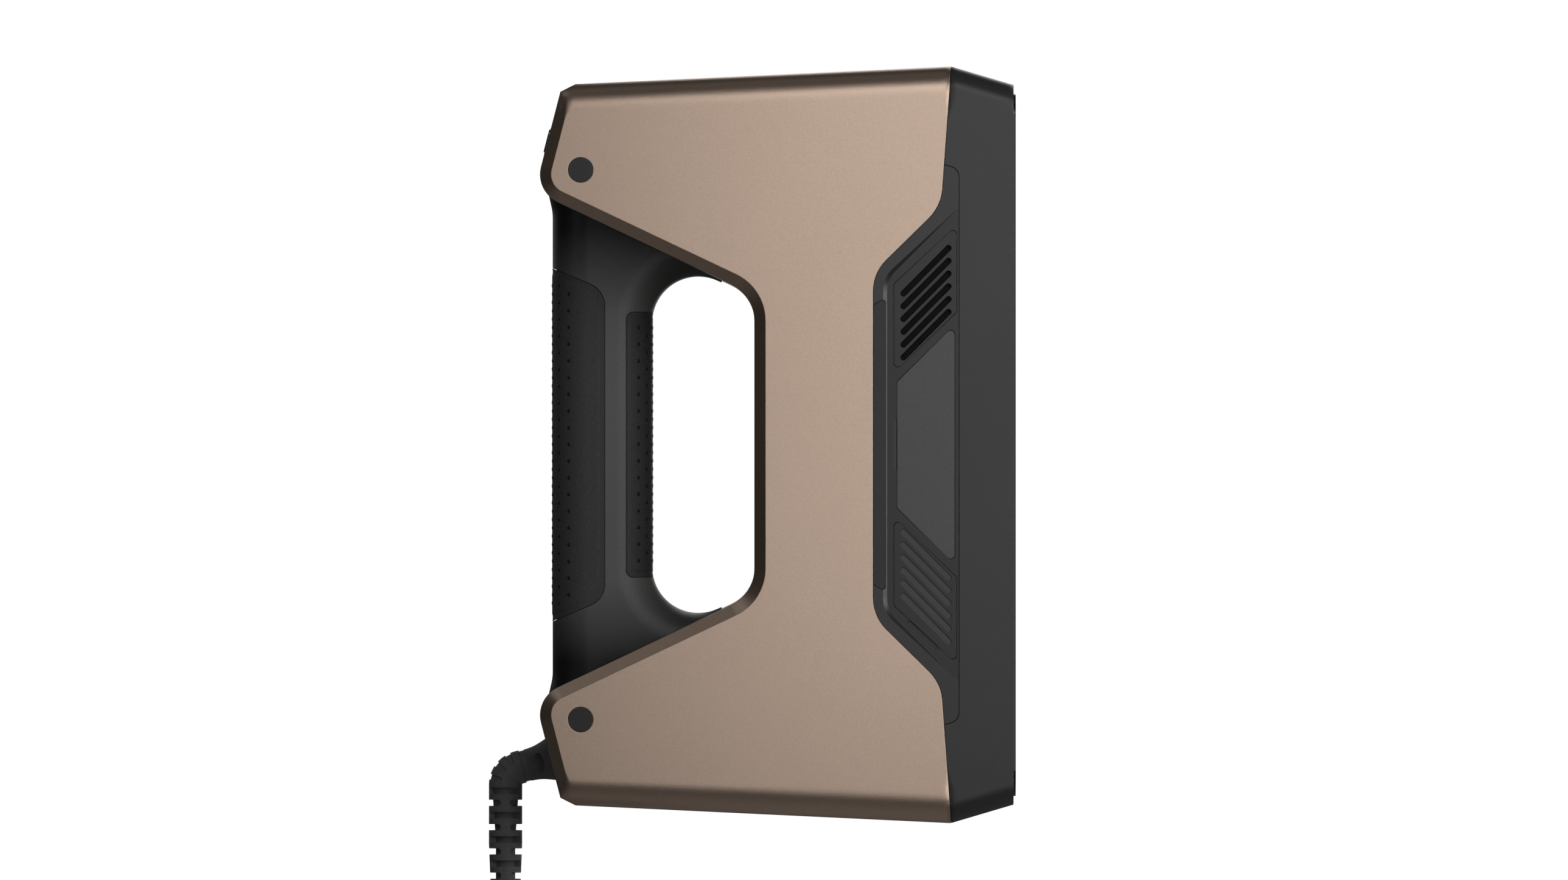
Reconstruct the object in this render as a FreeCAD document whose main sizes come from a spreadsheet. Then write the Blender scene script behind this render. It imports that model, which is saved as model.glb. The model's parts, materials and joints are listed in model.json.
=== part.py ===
"""Handheld structured-light 3D scanner, as an assembly of separate pieces.

Frame, in millimetres: origin at the middle of the grip, +X forward towards the lenses, +Y to the
holder's left, +Z up. The right half is drawn; pieces that come in a left and right pair are mirrored.
"""

import FreeCAD, Part
import math
import os
import Sketcher

V = FreeCAD.Vector
ROTATION = FreeCAD.Rotation
doc = FreeCAD.newDocument("HandheldScanner")
sheet = doc.addObject("Spreadsheet::Sheet", "Dimensions")


# ---------------------------------------------------------------- sizes from the spreadsheet


class Size:
    """A number together with the spreadsheet expression that gives it."""

    def __init__(self, value, text=None):
        self.value = float(value)
        self.text = text if text is not None else repr(float(value))

    def _with(self, other, sign, result):
        other = size(other)
        return Size(result(self.value, other.value), f"({self.text} {sign} {other.text})")

    def __add__(self, other):
        return self._with(other, "+", lambda a, b: a + b)

    def __sub__(self, other):
        return self._with(other, "-", lambda a, b: a - b)

    def __mul__(self, other):
        return self._with(other, "*", lambda a, b: a * b)

    def __truediv__(self, other):
        return self._with(other, "/", lambda a, b: a / b)

    def __radd__(self, other):
        return size(other) + self

    def __rsub__(self, other):
        return size(other) - self

    def __rmul__(self, other):
        return size(other) * self

    def __neg__(self):
        return Size(-self.value, f"(-1 * {self.text})")


def size(number):
    return number if isinstance(number, Size) else Size(number)


def trig(name, angle):
    """sin, cos or tan of a Size in degrees."""
    value = {"sin": math.sin, "cos": math.cos, "tan": math.tan}[name](math.radians(angle.value))
    return Size(value, f"{name}({angle.text} * 1 deg)")


class Cells:
    """Fills the spreadsheet, one driving dimension a row, and hands each back as a Size."""

    def __init__(self, rows):
        for number, (alias, value, note) in enumerate(rows, start=1):
            sheet.set(f"A{number}", alias)
            sheet.set(f"B{number}", str(value))
            sheet.set(f"C{number}", note)
            sheet.setAlias(f"B{number}", alias)
            setattr(self, alias, Size(value, f"Dimensions.{alias}"))


d = Cells([
    ("body_height", 237.0, "ridge to ridge, bottom to top"),
    ("body_width", 108.0, "across the two side faces"),
    ("wall", 2.2, "casing wall"),
    ("seam", 0.14, "gap between two casing pieces"),
    ("fit_gap", 0.12, "gap round a button, a cap, a pad or a removable cover"),
    ("front_reach", 129.0, "grip axis to the front rim"),
    ("ridge_reach", 109.4, "grip axis to the ridge where casing and bezel meet"),
    ("nose_drop", 5.8, "how far the bezel slopes down from ridge to rim"),
    ("top_slope", 2.7, "slope of the top face, in degrees"),
    ("back_lean", 14.5, "lean of the two back faces, in degrees"),
    ("back_reach", 21.0, "grip axis to the sharp corner of a lobe"),
    ("back_corner_up", 79.4, "height of the sharp corner of a lobe"),
    ("back_top_up", 110.5, "height where the leaning back face ends"),
    ("back_round", 9.5, "rounding of a lobe's corner"),
    ("opening_reach", 47.8, "grip axis to the far wall of the finger opening"),
    ("opening_corner_up", 46.8, "height of the sharp corner of the finger opening"),
    ("opening_round", 12.6, "rounding of the finger opening"),
    ("edge_round", 8.0, "rounding of the long top and bottom edges"),
    ("bevel", 3.5, "bevel along the back edges"),
    ("waist_reach", 84.9, "grip axis to the waist of the casing's front edge"),
    ("waist_up", 53.7, "height of the waist's corner"),
    ("hip_reach", 106.2, "grip axis to the hip of the casing's front edge"),
    ("hip_up", 74.6, "height of the hip's corner"),
    ("waist_round", 14.0, "rounding of waist and hip"),
    ("spine_width", 48.0, "width of the black spine between the casing halves"),
    ("insert_sink", 0.5, "how far side insert and bezel lie below the casing's side face"),
    ("insert_thick", 3.5, "thickness of the side insert"),
    ("insert_reach", 111.8, "grip axis to the seam between side insert and bezel"),
    ("insert_up", 86.4, "height of the insert's front corners"),
    ("insert_fall", 10.5, "how far the insert's top edge falls on its way forward"),
    ("recess_reach", 89.4, "grip axis to the step of the insert's recess"),
    ("recess_deep", 1.2, "depth of the recess at its step"),
    ("recess_up", 51.8, "height of the recess's back corners"),
    ("cover_thick", 1.2, "thickness of the grille, the badge plate and the lower cover"),
    ("cover_left", 20.3, "insert's front edge back to the far edge of grille and lower cover"),
    ("cover_right", 0.7, "insert's front edge back to the near edge of grille and lower cover"),
    ("badge_left", 19.3, "insert's front edge back to the badge plate's far edge"),
    ("badge_right", 1.3, "insert's front edge back to the badge plate's near edge"),
    ("slot_half", 0.93, "half the width of a grille slot"),
    ("slot_run", 21.9, "length of a grille slot, end to end"),
    ("slot_top", 54.45, "height of the top slot's middle"),
    ("slot_step", 4.0, "height from one slot to the next"),
    ("slot_reach", 10.3, "insert's front edge back to the middle of each slot"),
    ("slot_lean", 45.2, "lean of the slots, in degrees"),
    ("filter_thick", 0.5, "thickness of the dust filter behind a grille"),
    ("lip_gap", 0.15, "gap between a lip and the piece it reaches under"),
    ("lip_reach", 2.0, "how far a lip reaches under the next piece"),
    ("nick_long", 16.2, "length of the nick in the insert beside the badge plate"),
    ("nick_wide", 1.0, "width of that nick"),
    ("pry_long", 12.3, "length of the pry notch at the lower cover's edge"),
    ("pry_wide", 1.3, "width of the pry notch"),
    ("strip_reach", 88.8, "grip axis to the front edge of the narrow strip cover"),
    ("strip_up", 43.6, "height where the strip cover's cut ends begin"),
    ("grip_deep", 31.3, "grip from back to front"),
    ("grip_wide", 30.0, "grip from side to side"),
    ("grip_wall", 2.6, "wall of the handle"),
    ("pad_thick", 1.3, "thickness of the rubber grip pads"),
    ("flare_reach", 37.5, "grip axis to the front edge of the handle's flared ends"),
    ("flare_round", 14.5, "rounding where the handle flares out"),
    ("flare_up", 60.6, "height where the flare's slope would meet the grip's front"),
    ("flare_slope", 0.44, "rise of the flared ends for each millimetre forward"),
    ("grip_round", 11.0, "rounding of the grip's long edges"),
    ("handle_up", 78.5, "height where the handle ends inside the lobes"),
    ("rear_pad_up", 48.5, "height of the rear pad's front corners"),
    ("rear_pad_reach", 0.76, "grip axis to the rear pad's front edge"),
    ("front_pad_up", 41.6, "half height of the front pad"),
    ("front_pad_reach", 7.58, "grip axis to the front pad's back edge"),
    ("camera_up", 82.0, "height of each camera's axis"),
    ("bench_reach", 88.0, "grip axis to the back of the optical bench"),
    ("bench_thick", 3.0, "thickness of the optical bench"),
    ("board_reach", 70.0, "grip axis to the main board"),
    ("board_thick", 1.6, "thickness of a circuit board"),
    ("post_radius", 3.0, "posts that carry the bench and the main board"),
    ("window_radius", 23.0, "radius of a window in the front plate"),
    ("window_thick", 1.5, "thickness of a window"),
    ("plate_half_wide", 50.0, "half the width of the front plate"),
    ("plate_half_high", 110.0, "half the height of the front plate"),
    ("plate_thick", 2.0, "thickness of the front plate"),
    ("plate_proud", 0.7, "how far the front plate stands out of its rim"),
    ("lens_radius", 14.0, "radius of a camera lens barrel"),
    ("screw_radius", 1.5, "M3 screw"),
    ("running", 0.05, "radial clearance of a shaft that turns in a hole"),
    ("head_radius", 2.75, "head of an M3 screw"),
    ("cap_radius", 3.85, "round cap over a casing screw"),
    ("cap_up", 86.0, "height of the casing screws"),
    ("cap_reach", -6.6, "grip axis to the casing screws"),
    ("cap_thick", 1.0, "thickness of a cap"),
    ("button_long", 7.4, "button, along the leaning back face"),
    ("button_wide", 10.0, "button, from side to side"),
    ("button_step", 13.0, "from one button to the next"),
    ("button_proud", 0.7, "how far a button stands out"),
    ("button_up", 95.3, "height of the buttons"),
    ("light_up", 108.9, "height of the status light"),
    ("plug_up", 98.8, "how far below the grip's middle the cable plug sits"),
    ("plug_long", 9.5, "cable plug, from the casing to the strain relief"),
    ("plug_screw_side", 9.0, "plug axis to each captive screw"),
    ("fan_side", 30.0, "square fan frame"),
    ("fan_thick", 8.0, "thickness of the fan"),
    ("fan_reach", 101.5, "grip axis to the fan's axis"),
    ("fan_up", 45.6, "height of the fan's axis"),
    ("bearing_radius", 1.6, "outer radius of the fan's bearing"),
    ("shaft_radius", 0.75, "radius of the fan's shaft"),
    ("tripod_reach", 42.0, "grip axis to the tripod bush"),
    ("tripod_bore", 2.55, "radius of the tripod bush's 1/4-20 thread, at its crests"),
    ("boot_root", 5.5, "cable plug's end to the sharp corner of the strain relief's elbow"),
    ("boot_radius", 5.25, "outer radius of the strain relief"),
    ("boot_taper_up", 125.0, "how far below the grip's middle the strain relief starts to taper"),
    ("boot_bend", 5.6, "centreline radius of the strain relief's moulded elbow"),
    ("cord_radius", 3.0, "radius of the cord"),
    ("boot_end", 152.0, "how far below the grip's middle the strain relief ends"),
    ("boot_tip", 4.2, "radius of the strain relief's end"),
    ("coil_mean", 34.0, "mean radius of the tied coil"),
    ("coil_bundle", 12.0, "radius of the coil's bundle of turns"),
    ("coil_ring", 9.0, "bundle's centre to the middle of each turn"),
])
half_height = d.body_height / 2
half_width = d.body_width / 2
doc.recompute()


# ---------------------------------------------------------------- document helpers


def bind(thing, **exact):
    """Sets properties from Sizes. Double underscores in a name stand for dots."""
    for name, value in exact.items():
        path = name.replace("__", ".")
        thing.setExpression(path, size(value).text)
    return thing


def place(thing, x=0, y=0, z=0, turn=None):
    """Places an object, its position bound to the sheet. turn is (axis, Size in degrees)."""
    if turn is not None:
        axis, angle = turn
        thing.Placement = FreeCAD.Placement(V(0, 0, 0), ROTATION(axis, size(angle).value))
        bind(thing, Placement__Rotation__Angle=angle)
    return bind(thing, Placement__Base__x=x, Placement__Base__y=y, Placement__Base__z=z)


def corner_cut(before, corner, after, radius):
    """The arc that rounds a corner: where it starts, its middle and end, and its turn's sign."""
    a, b = (before - corner).normalize(), (after - corner).normalize()
    half_angle = math.acos(max(-1.0, min(1.0, a.dot(b)))) / 2
    start = corner + a * (radius / math.tan(half_angle))
    end = corner + b * (radius / math.tan(half_angle))
    centre = corner + (a + b).normalize() * (radius / math.sin(half_angle))
    middle = centre + (corner - centre).normalize() * radius
    return start, middle, end, 1 if (corner - before).cross(after - corner).z > 0 else -1


def draw(sketch, corners):
    """Draws a closed outline. Each corner is (x, y) or (x, y, rounding radius), all bound."""
    points = [V(size(c[0]).value, size(c[1]).value, 0) for c in corners]
    radii = [size(c[2]) if len(c) > 2 else None for c in corners]
    count = len(points)
    starts, ends, arcs = list(points), list(points), {}
    for i, radius in enumerate(radii):
        if radius is not None:
            cut = corner_cut(points[i - 1], points[i], points[(i + 1) % count], radius.value)
            ends[i], starts[i] = cut[0], cut[2]
            arcs[i] = cut
    lines = [
        sketch.addGeometry(Part.LineSegment(starts[i], ends[(i + 1) % count]))
        for i in range(count)
    ]
    for i in range(count):
        into, out_of = lines[i - 1], lines[i]
        if radii[i] is None:
            sketch.addConstraint(Sketcher.Constraint("Coincident", into, 2, out_of, 1))
            held, end = out_of, 1
        else:
            start, middle, finish, sign = arcs[i]
            arc = sketch.addGeometry(Part.Arc(start, middle, finish))
            first, last = (1, 2) if sign > 0 else (2, 1)
            held = sketch.addGeometry(Part.Point(points[i]), True)
            end = 1
            radius_id = sketch.addConstraint([
                Sketcher.Constraint("Tangent", into, 2, arc, first),
                Sketcher.Constraint("Tangent", arc, last, out_of, 1),
                Sketcher.Constraint("PointOnObject", held, 1, into),
                Sketcher.Constraint("PointOnObject", held, 1, out_of),
                Sketcher.Constraint("Radius", arc, radii[i].value),
            ])[-1]
            sketch.setExpression(f"Constraints[{radius_id}]", radii[i].text)
        for kind, value in (("DistanceX", corners[i][0]), ("DistanceY", corners[i][1])):
            value = size(value)
            at = sketch.addConstraint(Sketcher.Constraint(kind, -1, 1, held, end, value.value))
            sketch.setExpression(f"Constraints[{at}]", value.text)
    return sketch


PLANES = {
    "XY": (V(1, 0, 0), 0, "XY_Plane"),
    "XZ": (V(1, 0, 0), 90, "XZ_Plane"),
    "YZ": (V(1, 1, 1), 120, "YZ_Plane"),
}
ALONG = {"XY": V(0, 0, 1), "XZ": V(0, 1, 0), "YZ": V(1, 0, 0)}
OFF = {"XY": "z", "XZ": "y", "YZ": "x"}


def prism(name, plane, corners, low, length, taper=None, backwards=False):
    """An outline drawn in a plane and extruded along the plane's axis, from low."""
    axis, degrees, _ = PLANES[plane]
    sketch = doc.addObject("Sketcher::SketchObject", name + "_outline")
    sketch.Placement = FreeCAD.Placement(V(0, 0, 0), ROTATION(axis, degrees))
    sketch.setExpression(f"Placement.Base.{OFF[plane]}", size(low).text)
    draw(sketch, corners)
    solid = doc.addObject("Part::Extrusion", name)
    solid.Base = sketch
    solid.DirMode = "Custom"
    solid.Dir = ALONG[plane] * (-1 if backwards else 1)
    solid.Solid = True
    bind(solid, LengthFwd=length)
    if taper is not None:
        bind(solid, TaperAngle=taper)
    return solid


def box(name, low, lengths):
    solid = doc.addObject("Part::Box", name)
    bind(solid, Length=lengths[0], Width=lengths[1], Height=lengths[2])
    return place(solid, *low)


AXES = {"X": (V(0, 1, 0), 90), "Y": (V(1, 0, 0), -90), "Z": (V(0, 0, 1), 0)}


def rod(name, along, radius, low, length, sweep=None):
    """A cylinder along X, Y or Z from its low end."""
    solid = doc.addObject("Part::Cylinder", name)
    bind(solid, Radius=radius, Height=length)
    if sweep is not None:
        bind(solid, Angle=sweep)
    axis, degrees = AXES[along]
    solid.Placement = FreeCAD.Placement(V(0, 0, 0), ROTATION(axis, degrees))
    return bind(
        solid, Placement__Base__x=low[0], Placement__Base__y=low[1], Placement__Base__z=low[2]
    )


def cone(name, along, radii, low, length):
    solid = doc.addObject("Part::Cone", name)
    bind(solid, Radius1=radii[0], Radius2=radii[1], Height=length)
    axis, degrees = AXES[along]
    solid.Placement = FreeCAD.Placement(V(0, 0, 0), ROTATION(axis, degrees))
    return bind(
        solid, Placement__Base__x=low[0], Placement__Base__y=low[1], Placement__Base__z=low[2]
    )


def fuse(name, *solids):
    joined = doc.addObject("Part::MultiFuse", name)
    joined.Shapes = list(solids)
    joined.Refine = True
    return joined


def common(name, *solids):
    shared = doc.addObject("Part::MultiCommon", name)
    shared.Shapes = list(solids)
    shared.Refine = True
    return shared


def cut(name, base, *tools):
    tool = tools[0] if len(tools) == 1 else fuse(name + "_tools", *tools)
    rest = doc.addObject("Part::Cut", name)
    rest.Base = base
    rest.Tool = tool
    rest.Refine = True
    return rest


def moved(name, source, x=0, y=0, z=0, turn=None):
    """A linked copy of a solid in another place."""
    copy = doc.addObject("Part::Compound", name)
    copy.Links = [source]
    return place(copy, x, y, z, turn)


def mirrored(name, source, normal=V(0, 1, 0)):
    twin = doc.addObject("Part::Mirroring", name)
    twin.Source = source
    twin.Base = V(0, 0, 0)
    twin.Normal = normal
    return twin


def body(name):
    return doc.addObject("PartDesign::Body", name)


def plane_of(piece, plane):
    role = PLANES[plane][2]
    return next(f for f in piece.Origin.OriginFeatures if f.Role == role)


def sketch_in(piece, name, plane, corners=None, up=0):
    """A sketch on one of the body's own planes, up from it along the plane's normal."""
    sketch = piece.newObject("Sketcher::SketchObject", name)
    sketch.AttachmentSupport = [(plane_of(piece, plane), "")]
    sketch.MapMode = "FlatFace"
    bind(sketch, AttachmentOffset__Base__z=up)
    if corners is not None:
        draw(sketch, corners)
    return sketch


def circle_in(piece, name, plane, radius, x=0, y=0, up=0):
    """A sketch holding one circle, its place and radius bound."""
    sketch = sketch_in(piece, name, plane, up=up)
    radius, x, y = size(radius), size(x), size(y)
    ring = sketch.addGeometry(Part.Circle(V(x.value, y.value, 0), V(0, 0, 1), radius.value))
    for kind, value in (("DistanceX", x), ("DistanceY", y)):
        at = sketch.addConstraint(Sketcher.Constraint(kind, -1, 1, ring, 3, value.value))
        sketch.setExpression(f"Constraints[{at}]", value.text)
    at = sketch.addConstraint(Sketcher.Constraint("Radius", ring, radius.value))
    sketch.setExpression(f"Constraints[{at}]", radius.text)
    return sketch


def pad(piece, name, sketch, length, reverse=False):
    feature = piece.newObject("PartDesign::Pad", name)
    feature.Profile = sketch
    feature.Reversed = reverse
    bind(feature, Length=length)
    return feature


def pocket(piece, name, sketch, length, reverse=False):
    """Cuts a sketch into the body and makes sure that it removed something."""
    doc.recompute()
    before = piece.Shape.Volume
    feature = piece.newObject("PartDesign::Pocket", name)
    feature.Profile = sketch
    feature.Reversed = reverse
    bind(feature, Length=length)
    doc.recompute()
    if piece.Shape.Volume > before - 1e-3:
        raise RuntimeError(f"{piece.Name}: pocket {name} cut nothing")
    return feature


def round_edges(piece, name, radius, wanted):
    """Fillets the edges of the body's solid for which wanted(edge) holds."""
    doc.recompute()
    base = piece.Tip
    names = [f"Edge{i}" for i, e in enumerate(base.Shape.Edges, start=1) if wanted(e)]
    feature = piece.newObject("PartDesign::Fillet", name)
    feature.Base = (base, names)
    bind(feature, Radius=radius)
    return feature


parts = {}


def part(node, thing):
    """Registers an object as a sub-part. Its Label is the node's name."""
    thing.Label = node
    parts[node] = thing
    return thing


def pair(node, thing):
    """Registers a right-hand piece and its mirrored left-hand twin."""
    part("right_" + node, thing)
    part("left_" + node, mirrored("left_" + node, thing))


def stack(node, thing):
    """Registers an upper piece and its twin mirrored to the lower half."""
    part("upper_" + node, thing)
    part("lower_" + node, mirrored("lower_" + node, thing, V(0, 0, 1)))


# ---------------------------------------------------------------- casing envelope

BEYOND = 10.0  # how far a cutting solid runs past what it cuts
nose_angle = Size(
    math.degrees(math.atan2(d.nose_drop.value, d.front_reach.value - d.ridge_reach.value)),
    f"atan({d.nose_drop.text} / ({d.front_reach.text} - {d.ridge_reach.text})) / 1 deg",
)
back_top_x = -d.back_reach + (d.back_top_up - d.back_corner_up) * trig("tan", d.back_lean)


def side_outline():
    """The scanner from the side, upper half then lower half."""
    upper = [
        (d.front_reach + BEYOND, half_height + BEYOND),
        (back_top_x + 17.6, half_height + 1.0),
        (back_top_x, d.back_top_up),
        (-d.back_reach, d.back_corner_up, d.back_round),
        (d.opening_reach, d.opening_corner_up, d.opening_round),
    ]
    lower = [(c[0], -size(c[1]), *c[2:]) for c in reversed(upper)]
    return upper + lower


def rounded_bar(name, inset, angle, sign):
    """A long bar whose top face is one of the scanner's sloping faces, with rounded edges."""
    long_edge = 400.0
    piece = body(name)
    half = half_width - inset
    radius = d.edge_round - inset
    outline = [(-half, -300.0), (half, -300.0), (half, -inset, radius), (-half, -inset, radius)]
    pad(piece, name + "_pad", sketch_in(piece, name + "_section", "YZ", outline, -200.0), long_edge)
    place(piece, d.ridge_reach, 0, half_height, (V(0, sign, 0), angle))
    return piece


def envelope(name, inset, bevelled):
    """The casing's outer form, or its inside when inset by the wall."""
    half = half_width - inset
    if bevelled:
        core = prism(name + "_core", "XZ", side_outline(), -(half - d.bevel), (half - d.bevel) * 2)
        cap = prism(name + "_cap", "XZ", side_outline(), half - d.bevel, d.bevel, taper=-45)
        form = fuse(name + "_form", core, cap, mirrored(name + "_cap_twin", cap))
    else:
        outline = doc.addObject("Sketcher::SketchObject", name + "_outline")
        outline.Placement = FreeCAD.Placement(V(0, 0, 0), ROTATION(V(1, 0, 0), 90))
        bind(outline, Placement__Base__y=-half)
        draw(outline, side_outline())
        ring = doc.addObject("Part::Offset2D", name + "_ring")
        ring.Source = outline
        ring.Join = "Intersection"
        bind(ring, Value=-inset)
        form = doc.addObject("Part::Extrusion", name + "_form")
        form.Base = ring
        form.DirMode = "Custom"
        form.Dir = V(0, 1, 0)
        form.Solid = True
        bind(form, LengthFwd=half * 2)
    bars = [
        rounded_bar(name + "_top", inset, d.top_slope, -1),
        rounded_bar(name + "_nose", inset, nose_angle, 1),
    ]
    twins = [mirrored(bar.Name + "_twin", bar, V(0, 0, 1)) for bar in bars]
    front = box(
        name + "_front",
        (-100.0, -100.0, -200.0),
        (d.front_reach - inset + 100.0, 200.0, 400.0),
    )
    return common(name, form, *bars, *twins, front)


outer = envelope("outer", Size(0), True)
inner = envelope("inner", d.wall, False)
hollow = cut("hollow", outer, inner)
FAR = 200.0  # past every face of the scanner

rise = (d.ridge_reach - d.hip_reach) / (half_height - d.hip_up)


def front_zone(name, shift):
    """All that lies in front of the casing's front edge, moved forward by shift."""
    upper = [
        (FAR, FAR),
        (d.hip_reach + shift + rise * (FAR - d.hip_up), FAR),
        (d.hip_reach + shift, d.hip_up, d.waist_round),
        (d.waist_reach + shift, d.waist_up, d.waist_round),
    ]
    lower = [(c[0], -size(c[1]), *c[2:]) for c in reversed(upper)]
    return prism(name, "XZ", upper + lower, -FAR, 2 * FAR)


# the back panels: a piece drawn with -X out of the casing and +Z along the panel is set on them


def panel_at(height, sign=1):
    """Where a leaning back panel is at a height, as a placement bound to the sheet."""
    x = -d.back_reach + (height - d.back_corner_up) * trig("tan", d.back_lean)
    return {"x": x, "z": height * sign, "turn": (V(0, sign, 0), d.back_lean)}


def obround(half_long, half_wide, inset=0.05):
    """A long slot's outline, with almost full rounds at its ends."""
    reach, side = size(half_long), size(half_wide)
    r = side - inset
    return [(-reach, -side, r), (reach, -side, r), (reach, side, r), (-reach, side, r)]


def rounded(half_x, half_y, radius):
    return [(-size(half_x), -size(half_y), radius), (half_x, -size(half_y), radius),
            (half_x, half_y, radius), (-size(half_x), half_y, radius)]


button_ys = {"minus": -d.button_step, "start": Size(0), "plus": d.button_step}
button_x = d.button_wide / 2
button_z = d.button_long / 2
travel_gap = Size(0.55)
board_in = Size(8.0)

# ---------------------------------------------------------------- spine


SPINE_SHORT = 0.3  # the spine stops this far below the top of the leaning back face
BUTTON_CORNER = 2.0


def button_hole(name):
    """The hole in a panel that a button slides in."""
    gap = d.fit_gap
    outline = rounded(button_x + gap, button_z + gap, BUTTON_CORNER + gap)
    return prism(name, "YZ", outline, -5.0, 12.0)


def build_spine():
    half = d.spine_width / 2
    top = d.back_top_up - SPINE_SHORT
    strip = box("spine_zone", (-60.0, -half, -top), (120.0, half * 2, top * 2))
    ribbon = common("spine_ribbon", hollow, strip)
    posts = []
    for y in (-21.0, 21.0):
        post = rod("board_post_raw", "X", 2.0, (d.wall, y, 3.0), board_in - d.wall)
        posts.append(moved("board_post", post, **panel_at(d.button_up)))
    tools = []
    for y in button_ys.values():
        hole = moved("button_hole_set", button_hole("button_hole_raw"), 0, y, 0)
        tools.append(("button_hole", hole, panel_at(d.button_up)))
    light = prism("light_hole_raw", "YZ", rounded(15.05, 0.95, 0.6), -5, 12)
    tools.append(("light_hole", light, panel_at(d.light_up)))
    socket = prism("socket_hole_raw", "YZ", rounded(13.6, 6.4, 5.5), -5, 12)
    tools.append(("socket_hole", socket, panel_at(d.plug_up, -1)))
    cutters = [moved(name, tool, **where) for name, tool, where in tools]
    wires = [
        box("wire_way", (-8.0, -6.0, z), (16.0, 12.0, 40.0)) for z in (55.0, -95.0)
    ]
    return cut("spine_form", fuse("spine_solid", ribbon, *posts), *cutters, *wires)


part("spine", build_spine())

# ---------------------------------------------------------------- casing halves


SCREW_SINK = 3.7  # side face to the seat under each casing screw's head


def build_shell():
    half = box("right_half", (-FAR, -FAR, -FAR), (2 * FAR, FAR - d.seam / 2, 2 * FAR))
    side = common("right_casing", hollow, half)
    slot_side = d.spine_width / 2 + d.seam
    slot_up = d.back_top_up - SPINE_SHORT + d.seam
    slot = box("spine_slot", (-60.0, -slot_side, -slot_up), (120.0, slot_side * 2, slot_up * 2))
    bosses, holes = [], []
    face = -half_width
    boss_low = face + 1.5
    for z in (d.cap_up, -d.cap_up):
        bosses.append(rod("boss", "Y", 4.8, (d.cap_reach, boss_low, z), -boss_low - d.seam / 2))
        holes.append(rod("cap_seat", "Y", d.cap_radius + d.fit_gap, (d.cap_reach, face - 1.0, z),
                         d.cap_thick + 1.0))
        holes.append(rod("head_seat", "Y", d.head_radius + 0.25, (d.cap_reach, face, z), SCREW_SINK))
        holes.append(rod("screw_way", "Y", d.screw_radius + 0.1, (d.cap_reach, face, z), half_width))
    bush = rod("bush_way_raw", "Z", 6.05, (d.tripod_reach - d.ridge_reach, 0, -5.0), 12.0)
    holes.append(moved("bush_way", bush, **base_frame))
    solid = cut("shell_wall", side, slot, front_zone("shell_front", 0))
    return cut("shell_form", fuse("shell_solid", solid, *bosses), *holes)


base_frame = {"x": d.ridge_reach, "z": -half_height, "turn": (V(0, 1, 0), d.top_slope)}
pair("shell", build_shell())


def build_tripod_bush():
    x = d.tripod_reach - d.ridge_reach
    barrel = rod("bush_barrel", "Z", 6.0, (x, 0, 0.2), 10.0)
    flange = rod("bush_flange", "Z", 8.5, (x, 0, d.wall), 2.0)
    bore = rod("bush_bore", "Z", d.tripod_bore, (x, 0, -1.0), 9.2)
    return moved("bush", cut("bush_form", fuse("bush_solid", barrel, flange), bore), **base_frame)


part("tripod_bush", build_tripod_bush())


def build_caps():
    discs = []
    for z in (d.cap_up, -d.cap_up):
        right = rod("cap", "Y", d.cap_radius, (d.cap_reach, -half_width, z), d.cap_thick)
        discs += [right, mirrored("cap_twin", right)]
    group = doc.addObject("Part::Compound", "cap_group")
    group.Links = discs
    return group


def build_casing_screws():
    screws = []
    end = half_width - SCREW_SINK
    for z in (d.cap_up, -d.cap_up):
        shank = rod("shank", "Y", d.screw_radius, (d.cap_reach, -end, z), end * 2)
        heads = [
            rod("head", "Y", d.head_radius, (d.cap_reach, low, z), 2.4)
            for low in (-end - 2.4, end)
        ]
        screws.append(fuse("screw", shank, *heads))
    group = doc.addObject("Part::Compound", "screw_group")
    group.Links = screws
    return group


part("screw_caps", build_caps())
part("casing_screws", build_casing_screws())

# ---------------------------------------------------------------- handle and its rubber pads


def handle_form(name, inset):
    """The handle from side to side, its long edges rounded; it runs into both lobes."""
    back = -d.grip_deep / 2 + inset
    front = d.grip_deep / 2 - inset
    half = d.grip_wide / 2 - inset
    top = d.flare_up + inset
    past, end = 70.0, 95.0
    past_top = top - (past - front) * d.flare_slope
    back_top, back_flare, back_round = 73.0, 5.0, 15.0
    outline = [
        (past, -end),
        (past, -past_top),
        (front, -top, d.flare_round),
        (front, top, d.flare_round),
        (past, past_top),
        (past, end),
        (back - back_flare, end),
        (back, back_top, back_round),
        (back, -back_top, back_round),
        (back - back_flare, -end),
    ]
    piece = body(name)
    pad(piece, name + "_pad", sketch_in(piece, name + "_side", "XZ", outline, -half), half * 2)

    def on_side(edge):
        span = edge.BoundBox
        flat = abs(span.YMax - span.YMin) < 1e-4
        return flat and abs(span.Center.z) < 80.0 and span.XMin < past - 1.0

    round_edges(piece, name + "_round", d.grip_round - inset, on_side)
    trim = box(name + "_trim", (-FAR, -FAR, -d.handle_up),
               (FAR + d.flare_reach - inset, 2 * FAR, d.handle_up * 2))
    return common(name + "_trimmed", piece, trim)


grip_outer = handle_form("grip_outer", Size(0))
grip_skin = handle_form("grip_skin", d.pad_thick)
grip_inner = handle_form("grip_inner", d.grip_wall)


def rear_pad_zone(name, grow):
    """Seen from the side, the pad's ends rise backwards."""
    rise_back = 25.5
    upper = [
        (-60.0, d.rear_pad_up + rise_back + grow),
        (d.rear_pad_reach + grow, d.rear_pad_up + grow, 7.5),
    ]
    lower = [(c[0], -size(c[1]), *c[2:]) for c in reversed(upper)]
    return prism(name, "XZ", upper + lower, -FAR, 2 * FAR)


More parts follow.
